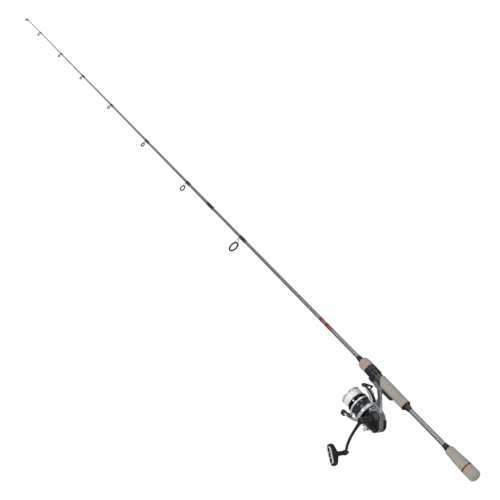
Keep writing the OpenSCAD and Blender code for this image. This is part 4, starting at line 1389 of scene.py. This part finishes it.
# name, place, aim, width, height, watts
LIGHTS = [
    ("key", (0.2, 3.2, 0.75), (0.9, 0, 0), 5.2, 0.9, 62),
    ("top", (0.8, 0.6, 3.6), (0.9, 0, 0), 4.0, 2.0, 46),
    ("front", (3.8, 1.8, 1.2), (0.9, 0, 0), 1.6, 1.6, 14),
    ("back", (-2.4, -1.6, 1.8), (0.5, 0, 0), 1.8, 1.8, 14),
]
# grey gradient that reflections see, from below to above
SKY_ENDS = [(0.0, (0.06, 0.062, 0.065, 1)), (1.0, (0.34, 0.34, 0.345, 1))]
SKY_STOPS = [(0.35, (0.09, 0.092, 0.095, 1)), (0.8, (0.2, 0.2, 0.21, 1))]
CAMERA_PLACE = (-0.65, 1.90229893, 0.96926972)
CAMERA_RIGHT = Vector((-0.5794820326, -0.6736555275, 0.4586815934))
CAMERA_UP = Vector((0.5936572963, 0.0366832564, 0.8038814299))
CAMERA_FORWARD = Vector((0.5583651032, -0.7381345195, -0.3786632311))


def mix_shaders(tree, fac, first, second):
    node = tree.nodes.new("ShaderNodeMixShader")
    for i, source in enumerate((fac, first, second)):
        tree.links.new(source, node.inputs[i])
    return node.outputs[0]


def emission(tree, colour, strength):
    node = tree.nodes.new("ShaderNodeEmission")
    node.inputs["Color"].default_value = colour
    node.inputs["Strength"].default_value = strength
    return node.outputs[0]


def floor_material():
    """White to the camera, dark grey in reflections, pale and matt to other light."""
    material = bpy.data.materials.new("floor_pale")
    material.use_nodes = True
    tree = material.node_tree
    pale = tree.nodes["Principled BSDF"]
    pale.inputs["Base Color"].default_value = (0.93, 0.93, 0.93, 1)
    pale.inputs["Roughness"].default_value = 0.9
    pale.inputs["Specular IOR Level"].default_value = 0.1
    white = emission(tree, (1, 1, 1, 1), strength=1.02)
    dark = emission(tree, (0.14, 0.142, 0.145, 1), strength=1.0)
    ray = tree.nodes.new("ShaderNodeLightPath").outputs
    unseen = mix_shaders(tree, ray["Is Glossy Ray"], pale.outputs[0], dark)
    surface = mix_shaders(tree, ray["Is Camera Ray"], unseen, white)
    tree.links.new(surface, tree.nodes["Material Output"].inputs["Surface"])
    return material


def floor():
    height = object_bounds()[0].z - FLOOR_GAP
    mesh = bpy.data.meshes.new("floor")
    bm = bmesh.new()
    bmesh.ops.create_grid(bm, x_segments=8, y_segments=8, size=45)
    bm.to_mesh(mesh)
    bm.free()
    obj = add_object("floor", mesh)
    obj.location = (1, 0, height)
    mesh.materials.append(floor_material())
    obj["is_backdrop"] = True


def area_light(name, location, aim, width, height, watts):
    data = bpy.data.lights.new(name, "AREA")
    data.shape = "RECTANGLE"
    data.size = width
    data.size_y = height
    data.energy = watts
    obj = add_object(name, data)
    obj.location = location
    obj.rotation_mode = "QUATERNION"
    obj.rotation_quaternion = (Vector(aim) - Vector(location)).to_track_quat("-Z", "Y")
    obj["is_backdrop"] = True


def world():
    """Even white light, with the grey gradient in reflections."""
    studio = bpy.data.worlds.new("studio")
    SCENE.world = studio
    studio.use_nodes = True
    tree = studio.node_tree
    even = tree.nodes["Background"]
    even.inputs["Color"].default_value = (1, 1, 1, 1)
    even.inputs["Strength"].default_value = 0.3
    reflected = tree.nodes.new("ShaderNodeBackground")
    coords = tree.nodes.new("ShaderNodeTexCoord")
    split = tree.nodes.new("ShaderNodeSeparateXYZ")
    tree.links.new(coords.outputs["Generated"], split.inputs[0])
    sky = tree.nodes.new("ShaderNodeValToRGB")
    stops = sky.color_ramp.elements
    for i, (position, colour) in enumerate(SKY_ENDS):
        stops[i].position = position
        stops[i].color = colour
    for position, colour in SKY_STOPS:
        stops.new(position).color = colour
    tree.links.new(split.outputs["Z"], sky.inputs[0])
    tree.links.new(sky.outputs[0], reflected.inputs["Color"])
    ray = tree.nodes.new("ShaderNodeLightPath").outputs
    surface = mix_shaders(tree, ray["Is Glossy Ray"], even.outputs[0], reflected.outputs[0])
    tree.links.new(surface, tree.nodes["World Output"].inputs["Surface"])


def camera():
    data = bpy.data.cameras.new("camera")
    obj = add_object("camera", data)
    data.sensor_width = 36
    data.lens = 75.7857786
    data.clip_start = 0.05
    data.clip_end = 200
    axes = Matrix((CAMERA_RIGHT, CAMERA_UP, -CAMERA_FORWARD)).transposed()
    obj.matrix_world = Matrix.Translation(CAMERA_PLACE) @ axes.to_4x4()
    SCENE.camera = obj
    obj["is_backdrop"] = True


floor()
for settings in LIGHTS:
    area_light(*settings)
world()
camera()
SCENE.view_settings.view_transform = "Standard"
